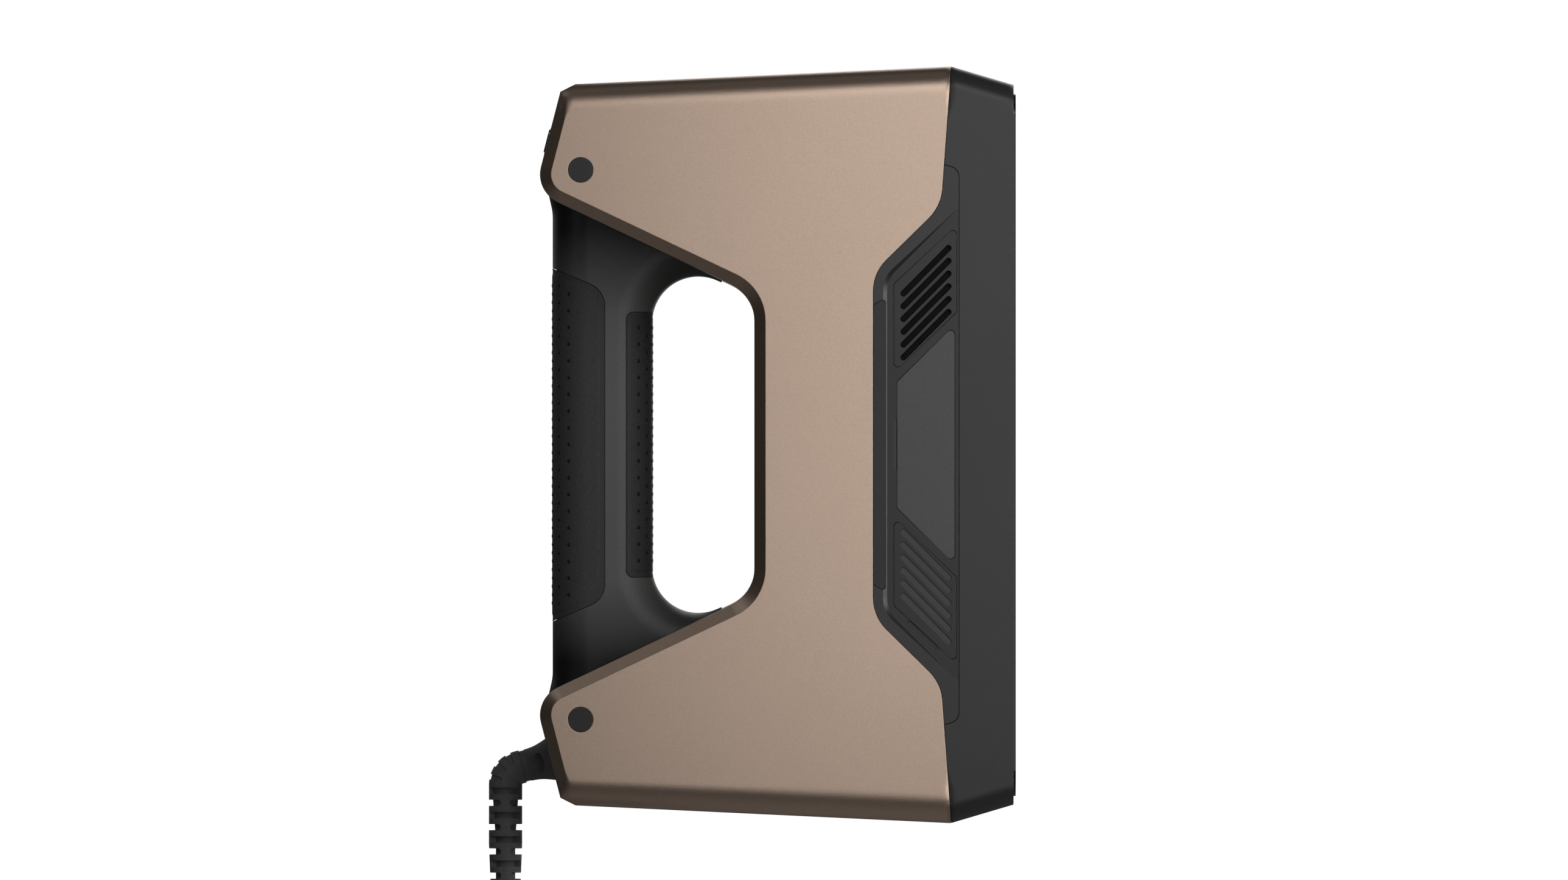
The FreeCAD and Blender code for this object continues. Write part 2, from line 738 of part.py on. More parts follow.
def front_pad_zone(name, grow):
    up = d.front_pad_up + grow
    x = d.front_pad_reach - grow
    outline = [(60.0, -up), (60.0, up), (x, up, 2.3), (x, -up, 2.3)]
    return prism(name, "XZ", outline, -FAR, 2 * FAR)


pad_skin = cut("pad_skin", grip_outer, grip_skin)
part("rear_grip_pad", common("rear_pad_form", pad_skin, rear_pad_zone("rear_pad_zone", Size(0))))
part("front_grip_pad", common("front_pad_form", pad_skin, front_pad_zone("front_pad_zone", Size(0))))


def build_handle():
    """Right half of the handle; the halves meet on the middle plane, mostly under the pads."""
    tube = cut("handle_tube", grip_outer, grip_inner, outer)
    rear = common("rear_seat", pad_skin, rear_pad_zone("rear_pad_seat", d.fit_gap))
    front = common("front_seat", pad_skin, front_pad_zone("front_pad_seat", d.fit_gap))
    whole = cut("handle_body", tube, rear, front)
    side = box("handle_side", (-FAR, -FAR, -FAR), (2 * FAR, FAR - d.seam / 2, 2 * FAR))
    return common("handle_half", whole, side)


pair("handle", build_handle())

# ---------------------------------------------------------------- front bezel, plate and windows

front_face = d.front_reach + d.plate_proud
plate_back = front_face - d.plate_thick
PLATE_CORNER = 8.0
plate_holes = {"upper": d.camera_up, "projector": Size(0), "lower": -d.camera_up}


def insert_zone(name, grow, low, length):
    """The insert from the side; its top and bottom edges close up a little towards the front."""
    up = d.insert_up + grow
    back, back_up = d.insert_reach - 41.8, up + d.insert_fall
    reach = d.insert_reach + grow
    outline = [(back, -back_up), (reach, -up, 3.5), (reach, up, 3.5), (back, back_up)]
    return prism(name, "XZ", outline, low, length)


def build_bezel_lip():
    """A ring inside the bezel's back edge that reaches under the casing halves."""
    core = envelope("lip_core", d.wall + 1.4, False)
    loose = common("lip_loose", envelope("lip_space", d.wall + d.lip_gap, False),
                   front_zone("lip_back", -d.lip_reach))
    tight = common("lip_tight", inner, front_zone("lip_fore", d.seam))
    aside = insert_zone("lip_aside", d.lip_reach + 2 * d.lip_gap, -FAR, 2 * FAR)
    return cut("bezel_lip", fuse("lip_blank", loose, tight), core, aside,
               front_zone("lip_front", d.lip_reach))


def build_bezel():
    side = half_width - d.insert_sink
    slab = box("bezel_slab", (0, -side, -FAR), (FAR, side * 2, 2 * FAR))
    ring = common("bezel_ring", hollow, front_zone("bezel_zone", d.seam), slab)
    gap = d.seam
    y, z, ledge = d.plate_half_wide, d.plate_half_high, 4.0
    seat = prism("plate_seat", "YZ", rounded(y + gap, z + gap, PLATE_CORNER), plate_back, 20.0)
    way = prism("plate_way", "YZ", rounded(y - ledge, z - ledge, 6.0), 115.0, 40.0)
    rim = cut("bezel_rim", ring, seat, way, insert_zone("insert_way", d.seam, -FAR, 2 * FAR))
    return fuse("bezel_form", rim, build_bezel_lip())


part("front_bezel", build_bezel())


def build_plate():
    piece = body("plate_body")
    outline = rounded(d.plate_half_wide, d.plate_half_high, PLATE_CORNER)
    pad(piece, "plate_pad", sketch_in(piece, "plate_outline", "YZ", outline, plate_back),
        d.plate_thick)
    for name, up in plate_holes.items():
        seat = circle_in(piece, name + "_seat", "YZ", d.window_radius + d.running, 0, up, front_face)
        pocket(piece, name + "_seat_cut", seat, d.window_thick)
        hole = circle_in(piece, name + "_hole", "YZ", d.window_radius - 1.5, 0, up, front_face)
        pocket(piece, name + "_hole_cut", hole, d.plate_thick + 1.0)
    return piece


part("front_plate", build_plate())
for place_name, node in (
    ("upper", "upper_camera_window"),
    ("lower", "lower_camera_window"),
    ("projector", "projector_window"),
):
    low = (front_face - d.window_thick, 0, plate_holes[place_name])
    part(node, rod(node + "_disc", "X", d.window_radius, low, d.window_thick - 0.1))

# ---------------------------------------------------------------- side inserts and what they hold

insert_face = -(half_width - d.insert_sink)
deck_angle = Size(
    math.degrees(math.atan2(d.recess_deep.value, d.insert_reach.value - d.recess_reach.value)),
    f"atan({d.recess_deep.text} / ({d.insert_reach.text} - {d.recess_reach.text})) / 1 deg",
)
deck = {"x": d.insert_reach, "y": insert_face, "turn": (V(0, 0, -1), deck_angle)}
# on the deck, x counts back from the insert's front edge and y goes into the casing
deck_left = d.recess_reach - d.insert_reach
COVER_CORNER = 1.3
SLOTS = 6


def deck_prism(name, corners, low, length, **more):
    return prism(name, "XZ", corners, low, length, **more)


def grille_outline(grow, sign=1):
    """The grille's outline, or with sign -1 the lower cover's, grown on every side."""
    left, right = -d.cover_left - grow, -d.cover_right + grow
    along = 0.4 * size(grow)
    corners = [(left, 22.6 - grow), (left, 50.3 + along), (right, 68.7 + grow), (right, 41.5 - along)]
    corners = [(x, z * sign, COVER_CORNER) for x, z in corners]
    return corners if sign > 0 else list(reversed(corners))


def badge_outline(grow):
    left, right = -d.badge_left - grow, -d.badge_right + grow
    left_up, right_up = 19.7 + grow, 37.5 + grow
    return [(left, -left_up, COVER_CORNER), (right, -right_up, COVER_CORNER),
            (right, right_up, COVER_CORNER), (left, left_up, COVER_CORNER)]


def slot_cutters(name, sign, low, length, roll=0.0):
    """The diagonal slots of a grille, as separate cutters, from top to bottom.

    With roll, in degrees, a slot's floor slopes from one long edge to the other.
    """
    cutters = []
    for k in range(SLOTS):
        up = (d.slot_top - d.slot_step * k) * sign
        outline = obround(d.slot_run / 2, d.slot_half)
        blade = deck_prism(f"{name}_blade", outline, low, length)
        if roll:
            blade = moved(f"{name}_rolled", blade, turn=(V(1, 0, 0), Size(roll)))
        turn = (V(0, -sign, 0), d.slot_lean)
        cutters.append(moved(f"{name}_slot", blade, -d.slot_reach, 0, up, turn))
    return cutters


STRIP_THICK = 1.2
LOWER_PORT = -45.6  # height of the socket behind the lower cover


def build_nick():
    """Beside the badge plate, a nick to get a nail behind it; its floor falls towards the plate."""
    outline = [(-d.nick_wide, -d.nick_long / 2, 0.8), (d.nick_wide, -d.nick_long / 2, 0.8),
               (d.nick_wide, d.nick_long / 2, 0.8), (-d.nick_wide, d.nick_long / 2, 0.8)]
    blade = deck_prism("nick_blade", outline, -1.0, 1.35)
    return moved("nick", blade, -d.badge_left, 0, 0, (V(0, 0, 1), Size(17.0)))


def build_pry_notch(name):
    """A round-ended notch across the lower cover's slanting edge."""
    blade = deck_prism(name + "_blade", obround(d.pry_long / 2, d.pry_wide / 2), -1.0, 1.6)
    return moved(name, blade, -11.3, 0, -59.5, (V(0, 1, 0), Size(43.1)))


def build_insert():
    slab = insert_zone("insert_slab", Size(0), insert_face, d.insert_thick)
    blank = common("insert_blank", slab, front_zone("insert_front", d.seam))
    lip_low = -(half_width - d.wall - d.lip_gap)
    lip_thick = insert_face + d.insert_thick - lip_low
    wide = insert_zone("insert_wide", d.lip_reach, lip_low, lip_thick)
    lip = common("insert_lip", wide, front_zone("insert_under", d.seam - d.lip_reach))
    top, past = d.recess_up, 3.0
    run = past - deck_left
    step = [(past, top + run), (deck_left, top, 9.0), (deck_left, -top, 9.0), (past, -top - run)]
    recess = deck_prism("recess", step, 0, 5.0, taper=45, backwards=True)
    above, gap, port_high = 3.0, d.fit_gap, 4.4
    deep = d.cover_thick + above
    seats = [
        deck_prism("grille_seat", grille_outline(gap), -above, deep),
        deck_prism("badge_seat", badge_outline(gap), -above, deep),
        deck_prism("port_seat", grille_outline(gap, -1), -above, deep),
        deck_prism("filter_seat", grille_outline(-1.1), -above, deep + d.filter_thick + 0.02),
        deck_prism("grille_way", grille_outline(-2.0), -above, 12.0),
        build_nick(),
        build_pry_notch("pry_nick"),
        box("badge_port_way", (-14.5, -above, -port_high / 2), (9.0, 12.0, port_high)),
        box("lower_port_way", (-14.5, -above, LOWER_PORT - port_high / 2), (9.0, 12.0, port_high)),
    ]
    placed = [moved("deck_" + seat.Name, seat, **deck) for seat in [recess] + seats]
    solid = fuse("insert_solid", blank, lip)
    return cut("insert_form", solid, *placed, strip_solid("strip_seat", gap, STRIP_THICK + above))


def strip_solid(name, grow, thick):
    """The narrow cover along the casing's edge, its ends cut at 45 degrees."""
    left, right = d.waist_reach + d.seam - grow, d.strip_reach + grow
    up, slant = d.strip_up + grow, 2.4
    outline = [(left, -up), (right, -up - slant, 1.0), (right, up + slant, 1.0), (left, up)]
    low = insert_face if size(grow).value == 0 else insert_face - 3.0
    return prism(name, "XZ", outline, low, thick)


pair("side_insert", build_insert())
pair("strip_cover", strip_solid("strip_form", 0, STRIP_THICK))


def build_grille():
    plate = deck_prism("grille_plate", grille_outline(0), 0, d.cover_thick)
    grille = cut("grille_form", plate, *slot_cutters("grille", 1, -1.0, 4.0))
    return moved("grille", grille, **deck)


def build_port_cover():
    plate = deck_prism("port_plate", grille_outline(0, -1), 0, d.cover_thick)
    louvres = slot_cutters("port", -1, -1.0, 1.14, roll=-9.0)
    notch = build_pry_notch("port_notch")
    return moved("port", cut("port_form", plate, *louvres, notch), **deck)


def build_badge():
    return moved("badge", deck_prism("badge_form", badge_outline(0), 0, d.cover_thick), **deck)


def build_filters():
    """A thin sheet of foam behind each grille, right and left."""
    sheet_form = deck_prism("filter_form", grille_outline(-1.2), d.cover_thick, d.filter_thick)
    right = moved("filter", sheet_form, **deck)
    group = doc.addObject("Part::Compound", "filter_group")
    group.Links = [right, mirrored("filter_twin", right)]
    return group


pair("vent_grille", build_grille())
part("dust_filters", build_filters())
pair("port_cover", build_port_cover())
pair("badge_plate", build_badge())


def build_sockets():
    """Two flat sockets a side, behind the badge plate and the lower cover."""
    solids = []
    for middle in (0.0, LOWER_PORT):
        low = -(half_width - d.insert_sink - d.insert_thick)
        shell = box("socket_block", (96.0, low, middle - 5.0), (13.0, 7.0, 10.0))
        mouth = box("socket_mouth", (98.3, low - 1.0, middle - 1.3), (8.4, 6.0, 2.6))
        solids.append(cut("socket", shell, mouth))
    group = doc.addObject("Part::Compound", "socket_group")
    group.Links = solids
    return group


pair("accessory_sockets", build_sockets())

# ---------------------------------------------------------------- fan behind the right grille

fan_low = -(half_width - d.insert_sink - d.insert_thick)


def build_fan():
    half = d.fan_side / 2
    frame_box = body("fan_frame_body")
    pad(frame_box, "fan_block", sketch_in(frame_box, "fan_square", "XZ", rounded(half, half, 2.0)),
        d.fan_thick)
    circle = circle_in(frame_box, "fan_duct", "XZ", half - 1.0)
    pocket(frame_box, "fan_duct_cut", circle, d.fan_thick, True)
    place(frame_box, d.fan_reach, fan_low + d.fan_thick, d.fan_up)
    return frame_box


def fan_rod(name, radius, low, length):
    return rod(name, "Y", radius, (d.fan_reach, fan_low + low, d.fan_up), length)


def build_fan_frame():
    arms = []
    for k in range(3):
        arm = box("fan_arm_raw", (0, 0, -1.0), (d.fan_side / 2 - 0.6, 1.2, 2.0))
        arms.append(moved("fan_arm", arm, d.fan_reach, fan_low + d.fan_thick - 1.2, d.fan_up,
                          (V(0, 1, 0), Size(90.0 + 120.0 * k))))
    hub = fan_rod("fan_base", 5.5, d.fan_thick - 1.2, 1.2)
    seat = fan_rod("fan_bearing_seat", 2.5, d.fan_thick - 3.2, 2.0)
    solid = fuse("fan_frame_solid", build_fan(), *arms, hub, seat)
    way = fan_rod("fan_bearing_way", d.bearing_radius, d.fan_thick - 4.0, 6.0)
    return cut("fan_frame_form", solid, way)


def build_fan_rotor():
    hub = fan_rod("rotor_hub", 6.0, 0.8, d.fan_thick - 2.4)
    well = fan_rod("rotor_well", 5.0, 2.2, d.fan_thick)
    shaft = fan_rod("rotor_shaft", d.shaft_radius, 1.5, d.fan_thick - 1.7)
    blades, count = [], 7
    for k in range(count):
        blade = box("blade_raw", (5.2, -2.3, -0.4), (8.0, 4.6, 0.8))
        tilted = moved("blade_tilted", blade, 0, 0, 0, (V(1, 0, 0), Size(38.0)))
        blades.append(moved("blade", tilted, d.fan_reach, fan_low + 3.6, d.fan_up,
                            (V(0, 1, 0), Size(360.0 / count * k))))
    return fuse("rotor_ring", cut("rotor_cup", fuse("rotor_vanes", hub, *blades), well), shaft)


part("fan_frame", build_fan_frame())
part("fan_rotor", build_fan_rotor())
part("fan_bearing", cut(
    "bearing_form",
    fan_rod("bearing_ring", d.bearing_radius, d.fan_thick - 3.2, 3.0),
    fan_rod("bearing_bore", d.shaft_radius + d.running, d.fan_thick - 4.0, 6.0),
))

# ---------------------------------------------------------------- buttons, light and switch board


def build_button(name):
    """Cap, and a wider foot that stops it from falling out; -X is out of the casing."""
    piece = body(name + "_body")
    out = d.button_proud
    pad(piece, name + "_cap", sketch_in(piece, name + "_face", "YZ",
        rounded(button_x, button_z, BUTTON_CORNER), -out), out + d.wall)
    pad(piece, name + "_foot", sketch_in(piece, name + "_foot_face", "YZ",
        rounded(button_x + 0.8, button_z + 0.8, BUTTON_CORNER), d.wall), 1.0)
    pad(piece, name + "_stem", sketch_in(piece, name + "_stem_face", "YZ",
        rounded(1.5, 1.5, 0.7), d.wall + 1.0), 0.9)

    def on_top(edge):
        return edge.BoundBox.XMax < -out.value + 0.01

    round_edges(piece, name + "_soft", 0.3, on_top)
    return piece


for label, y in button_ys.items():
    where = panel_at(d.button_up)
    part(label + "_button", place(build_button(label), where["x"], y, where["z"], where["turn"]))


def build_trim():
    """A bright plate on the panel, with an opening for each button."""
    half = d.button_step + button_x + 1.0
    plate = prism("trim_plate", "YZ", rounded(half, button_z + 0.6, 2.4), -0.35, 0.35)
    holes = []
    for y in button_ys.values():
        holes.append(moved("trim_way", button_hole("trim_hole"), 0, y, 0))
    return moved("trim", cut("trim_form", plate, *holes), **panel_at(d.button_up))


def build_switch_board():
    half_wide = d.button_step + button_x + 5.0
    board = box("switch_pcb", (board_in, -half_wide, -2.2), (d.board_thick, half_wide * 2, 10.2))
    switches = []
    for y in button_ys.values():
        low = d.wall + 1.0 + 0.9 + travel_gap
        switches.append(rod("plunger", "X", 1.2, (low, y, 0), 1.5))
        switches.append(box("switch", (low + 0.8, y - 3.0, -3.0), (board_in - low - 0.8, 6.0, 6.0)))
    return moved("switches", fuse("switch_form", board, *switches), **panel_at(d.button_up))


part("button_trim", build_trim())
part("switch_board", build_switch_board())


def build_light():
    lens = prism("light_lens", "YZ", rounded(15.0, 0.9, 0.5), -0.3, d.wall + 0.3)
    foot = box("light_foot", (d.wall, -16.5, -2.4), (1.2, 33.0, 2.8))
    return moved("light", fuse("light_form", lens, foot), **panel_at(d.light_up))


part("status_light", build_light())

# ---------------------------------------------------------------- optics


def build_bench():
    low = d.bench_reach
    plate = body("bench_body")
    pad(plate, "bench_pad", sketch_in(plate, "bench_outline", "YZ", rounded(36.0, 106.0, 8.0), low),
        d.bench_thick)
    for k, z in enumerate((-47.0, 47.0)):
        corners = [(y, z + up, 4.0) for y, up in ((-24, -9), (24, -9), (24, 9), (-24, 9))]
        window = sketch_in(plate, f"bench_window_{k}", "YZ", corners, low)
        pocket(plate, f"bench_window_cut_{k}", window, d.bench_thick, True)
    wall_face = d.opening_reach + d.wall
    posts = [
        rod("bench_post", "X", d.post_radius, (wall_face, y, z), low - wall_face)
        for y in (-17.0, 17.0) for z in (-27.0, 27.0)
    ]
    return fuse("bench_form", plate, *posts)


part("optical_bench", build_bench())
bench_face = d.bench_reach + d.bench_thick
body_long = Size(18.0)
barrel_long = Size(13.0)
barrel_front = bench_face + body_long + barrel_long


def build_camera():
    housing = body("camera_housing")
    pad(housing, "camera_foot", sketch_in(housing, "camera_foot_face", "YZ",
        rounded(20.0, 20.0, 3.0), bench_face), 4.0)
    pad(housing, "camera_block", sketch_in(housing, "camera_block_face", "YZ",
        rounded(17.0, 17.0, 3.0), bench_face + 4.0), body_long - 4.0)
    return place(housing, 0, 0, d.camera_up)


def build_lens():
    low = bench_face + body_long
    up = d.camera_up
    barrel = rod("barrel", "X", d.lens_radius, (low, 0, up), barrel_long)
    mouth = cone("barrel_mouth", "X", (9.0, 12.5), (barrel_front - 3.0, 0, up), 3.001)
    throat = rod("barrel_throat", "X", 9.0, (barrel_front - 6.0, 0, up), 4.0)
    return cut("barrel_form", barrel, mouth, throat)


def build_led_ring():
    back = bench_face + body_long + 7.0
    up = d.camera_up
    disc = rod("led_disc", "X", 21.0, (back, 0, up), d.board_thick)
    lamps = []
    for k in range(12):
        lamp = box("led_raw", (0, -1.5, 16.0), (1.4, 3.0, 3.0))
        lamps.append(moved("led", lamp, back + d.board_thick, 0, up, (V(1, 0, 0), Size(30.0 * k))))
    solid = fuse("led_solid", disc, *lamps)
    return cut("led_form", solid, rod("led_way", "X", d.lens_radius, (back - 1.0, 0, up), 6.0))


stack("camera_body", build_camera())
stack("camera_lens", build_lens())
stack("lens_glass", rod("glass_disc", "X", 9.0, (barrel_front - 6.0, 0, d.camera_up), 2.2))
stack("led_ring", build_led_ring())


def build_projector():
    housing = body("projector_body")
    pad(housing, "projector_block", sketch_in(housing, "projector_face", "YZ",
        rounded(22.0, 18.0, 3.0), bench_face), 22.0)
    return housing


def build_projector_lens():
    low = bench_face + 22.0
    barrel = rod("projector_barrel", "X", 11.0, (low, 0, 0), 9.0)
    step = rod("projector_step", "X", 14.0, (low, 0, 0), 3.0)
    mouth = cone("projector_mouth", "X", (6.5, 9.0), (low + 6.0, 0, 0), 3.001)
    return cut("projector_lens_form", fuse("projector_lens_solid", barrel, step), mouth)


def build_heatsink():
    sink = body("heatsink_body")
    base = d.bench_reach
    face = sketch_in(sink, "sink_face", "YZ", rounded(20.0, 18.0, 1.0), base)
    pad(sink, "sink_base", face, 3.0, True)
    fin = pad(sink, "sink_fin", sketch_in(sink, "sink_fin_face", "YZ",
              [(-20, -17), (-18.8, -17), (-18.8, 17), (-20, 17)], base - 3.0), 8.0, True)
    doc.recompute()
    pattern = sink.newObject("PartDesign::LinearPattern", "sink_fins")
    pattern.Originals = [fin]
    pattern.Direction = (next(f for f in sink.Origin.OriginFeatures if f.Role == "Y_Axis"), [""])
    pattern.Length = 38.8
    pattern.Occurrences = 9
    sink.Tip = pattern
    return sink


part("projector_housing", build_projector())
part("projector_lens", build_projector_lens())
part("projector_heatsink", build_heatsink())


def build_main_board():
    low = d.board_reach
    board = box("main_pcb", (low, -40.0, -70.0), (d.board_thick, 80.0, 140.0))
    chips = [
        box("chip", (low - high, y, z), (high, wide, tall))
        for y, z, wide, tall, high in (
            (-12.0, 4.0, 24.0, 24.0, 3.0), (-34.0, -20.0, 14.0, 14.0, 1.8),
            (18.0, -22.0, 16.0, 12.0, 1.8), (-30.0, 48.0, 22.0, 10.0, 6.0),
            (10.0, 50.0, 20.0, 8.0, 6.0), (-8.0, -62.0, 16.0, 10.0, 7.0),
        )
    ]
    solid = fuse("main_board_solid", board, *chips)
    ways = [
        rod("post_way", "X", d.post_radius, (low - 10.0, y, z), 20.0)
        for y in (-17.0, 17.0) for z in (-27.0, 27.0)
    ]
    return cut("main_board_form", solid, *ways)


part("main_board", build_main_board())

# ---------------------------------------------------------------- cable plug and strain relief

plug_frame = panel_at(d.plug_up, -1)


def plug_hole(name, radius, low, length):
    return [
        rod(name, "X", radius, (low, y, 0), length)
        for y in (-d.plug_screw_side, d.plug_screw_side)
    ]


def build_cable_socket():
    front = prism("socket_front", "YZ", rounded(13.5, 6.3, 5.5), 0, d.wall + 0.5)
    flange = box("socket_flange", (d.wall, -15.0, -7.0), (2.0, 30.0, 14.0))
    block = box("socket_back", (d.wall, -12.0, -5.2), (7.0, 24.0, 10.4))
    solid = fuse("socket_solid", front, flange, block)
    well = rod("socket_well", "X", 4.6, (-1.0, 0, 0), 7.0)
    holes = plug_hole("socket_thread", d.screw_radius + d.running, -1.0, 8.0)
    return moved("cable_inlet", cut("cable_inlet_form", solid, well, *holes), **plug_frame)


def build_cable_plug():
    collar = 1.65
    sections = []
    for number, (share, wide, tall, radius) in enumerate((
        (0.0, 14.0, 6.8, 6.0), (0.25, 12.6, 6.1, 5.6), (0.63, 8.2, 5.3, 4.9), (1.0, 5.05, 5.05, 4.9),
    )):
        sketch = doc.addObject("Sketcher::SketchObject", f"plug_section_{number}")
        axis, degrees, _ = PLANES["YZ"]
        sketch.Placement = FreeCAD.Placement(V(0, 0, 0), ROTATION(axis, degrees))
        bind(sketch, Placement__Base__x=(d.plug_long - collar) * -share)
        draw(sketch, rounded(wide, tall, radius))
        sections.append(sketch)
    loft = doc.addObject("Part::Loft", "plug_loft")
    loft.Sections = sections
    loft.Solid = True
    nose = rod("plug_nose", "X", 4.5, (-0.5, 0, 0), 5.5)
    neck = rod("plug_neck", "X", d.boot_radius - 0.35, (-d.plug_long, 0, 0), collar + 0.5)
    recess = plug_hole("plug_recess", d.head_radius + 0.2, -20.0, 19.1)
    ways = plug_hole("plug_way", d.screw_radius + d.running, -6.0, 10.0)
    solid = cut("plug_form", fuse("plug_solid", loft, nose, neck), *recess, *ways)
    return moved("plug", solid, **plug_frame)


def build_plug_screw(side):
    """Slotted captive screw, its head in the recess at the plug's side."""
    y = d.plug_screw_side * side
    head = rod("captive_head", "X", d.head_radius, (-2.9, y, 0), 1.95)
    shank = rod("captive_shank", "X", d.screw_radius, (-1.5, y, 0), 7.0)
    slot = box("captive_slot", (-3.9, y - 4.0, -0.4), (1.8, 8.0, 0.8))
    return moved("captive", cut("captive_form", fuse("captive_solid", head, shank), slot), **plug_frame)


part("cable_socket", build_cable_socket())
part("cable_plug", build_cable_plug())
part("right_plug_screw", build_plug_screw(-1))
part("left_plug_screw", build_plug_screw(1))

boot_x = plug_frame["x"] - (d.plug_long + d.boot_root) * trig("cos", d.back_lean)
boot_turn_z = plug_frame["z"] - (d.plug_long + d.boot_root) * trig("sin", d.back_lean)
elbow_turn = Size(90.0) - d.back_lean
elbow_run = d.boot_bend * trig("tan", elbow_turn / 2)


def build_strain_relief():
    root_long = d.boot_root - elbow_run
    root_low = (-d.plug_long - root_long, 0, 0)
    root = moved("boot_root", rod("boot_root_raw", "X", d.boot_radius, root_low, root_long), **plug_frame)
    elbow = doc.addObject("Part::Torus", "boot_elbow")
    bind(elbow, Radius1=d.boot_bend, Radius2=d.boot_radius, Angle3=elbow_turn)
    turned = ROTATION(V(1, 0, 0), -90) * ROTATION(V(0, 0, 1), 180)
    elbow.Placement = FreeCAD.Placement(V(0, 0, 0), turned)
    elbow_z = boot_turn_z - elbow_run
    bind(elbow, Placement__Base__x=boot_x + d.boot_bend, Placement__Base__y=0,
         Placement__Base__z=elbow_z)
    straight_end = -d.boot_taper_up
    straight = rod("boot_straight", "Z", d.boot_radius, (boot_x, 0, straight_end),
                   elbow_z - straight_end)
    tip = cone("boot_tip_cone", "Z", (d.boot_tip, d.boot_radius), (boot_x, 0, -d.boot_end),
               d.boot_end + straight_end)
    return fuse("boot_form", root, elbow, straight, tip)


part("strain_relief", build_strain_relief())

# ---------------------------------------------------------------- cord, tied coil and its plug


def cord_wire(points):
    """Straight runs joined by tangent arcs, as large as the runs allow; prints the radii."""
    edges, start = [], points[0]
    for before, corner, after in zip(points, points[1:], points[2:]):
        shorter = min((corner - before).Length, (after - corner).Length)
        turn = (corner - before).getAngle(after - corner)
        radius = 0.45 * shorter / math.tan(turn / 2)
        print(f"cord bend: turn {math.degrees(turn):.0f} deg, radius {radius:.1f}")
        entry, middle, finish, _ = corner_cut(before, corner, after, radius)
        edges += [Part.LineSegment(start, entry).toShape(), Part.Arc(entry, middle, finish).toShape()]
        start = finish
    edges.append(Part.LineSegment(start, points[-1]).toShape())
    return Part.Wire(edges)


def cord_tube(name, points):
    wire = cord_wire(points)
    radius = d.cord_radius.value
    ring = Part.Wire(Part.Circle(points[0], points[1] - points[0], radius).toShape())
    tube = wire.makePipeShell([ring], True, False)
    expected = math.pi * radius ** 2 * wire.Length
    if abs(tube.Volume - expected) > 0.01 * expected:
        raise RuntimeError(f"{name}: volume {tube.Volume:.0f}, expected {expected:.0f}")
    thing = doc.addObject("Part::Feature", name)
    thing.Shape = tube
    return thing


doc.recompute()
hang_x, boot_low = boot_x.value, -d.boot_end.value
CORD_ROUTE = [V(hang_x, 0, boot_low), V(hang_x, 0, boot_low - 20.0),
              V(hang_x - 11.2, 0, boot_low - 47.8), V(hang_x - 35.7, 0, boot_low - 85.5)]
last_run = (CORD_ROUTE[-1] - CORD_ROUTE[-2]).normalize()
entry_radius = d.coil_mean.value + d.coil_ring.value
coil_centre = CORD_ROUTE[-1] + V(-last_run.z, 0, last_run.x) * entry_radius
part("cord", cord_tube("cord_pipe", CORD_ROUTE))


def ring_solid(name, bundle, sweep=None, turned=0.0):
    """A ring about a Y axis through the coil's centre, or a stretch of one."""
    ring = doc.addObject("Part::Torus", name)
    bind(ring, Radius1=d.coil_mean, Radius2=bundle)
    if sweep is not None:
        bind(ring, Angle3=sweep)
    turn = ROTATION(V(1, 0, 0), 90) * ROTATION(V(0, 0, 1), turned)
    ring.Placement = FreeCAD.Placement(coil_centre, turn)
    return ring


part("cord_coil", ring_solid("coil_ring", d.coil_bundle))
tie_band = ring_solid("tie_band", d.coil_bundle + 1.2, Size(20.0), 62.0)
part("cord_tie", cut("tie_form", tie_band, ring_solid("tie_core", d.coil_bundle)))

tail_x = coil_centre.x - d.coil_mean.value - 7.2  # where the last turn lies in the bundle
tail_y = -5.3
tail_top = coil_centre.z - 16.0
tail_low = coil_centre.z - 38.0
part("cord_tail", cord_tube("tail_pipe", [V(tail_x, tail_y, tail_top), V(tail_x, tail_y, tail_low)]))


def build_usb_plug():
    grip = prism("usb_grip", "XY", rounded(8.0, 4.0, 2.2), tail_low - 27.0, 24.0)
    neck = cone("usb_neck", "Z", (3.9, 3.4), (0, 0, tail_low - 3.0), 3.0)
    shell = box("usb_shell", (-6.0, -2.25, tail_low - 39.0), (12.0, 4.5, 12.0))
    mouth = box("usb_mouth", (-5.7, -1.95, tail_low - 40.0), (11.4, 2.1, 10.0))
    solid = cut("usb_form", fuse("usb_solid", grip, neck, shell), mouth)
    return moved("usb_set", solid, tail_x, tail_y)


part("usb_plug", build_usb_plug())

# ---------------------------------------------------------------- checks and files

doc.recompute()
bad = [o.Name for o in doc.Objects if {"Invalid", "Error"} & set(o.State)]
if bad:
    raise RuntimeError("failed objects: " + ", ".join(bad))
for node, thing in parts.items():
    if thing.Label != node or thing.Shape.isNull() or not thing.Shape.isValid():
        raise RuntimeError(f"{node}: no valid shape, or its label was taken")
    if not thing.Shape.Solids:
        raise RuntimeError(f"{node}: no solid")
os.makedirs("parts", exist_ok=True)
for node, thing in parts.items():
    thing.Shape.exportStep(f"parts/{node}.step")
print(len(parts), "sub-parts written")
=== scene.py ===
"""Looks of the handheld scanner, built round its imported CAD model. Metres, in its own frame."""

import json
import math

import bmesh
import bpy
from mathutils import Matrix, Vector
from mathutils.bvhtree import BVHTree


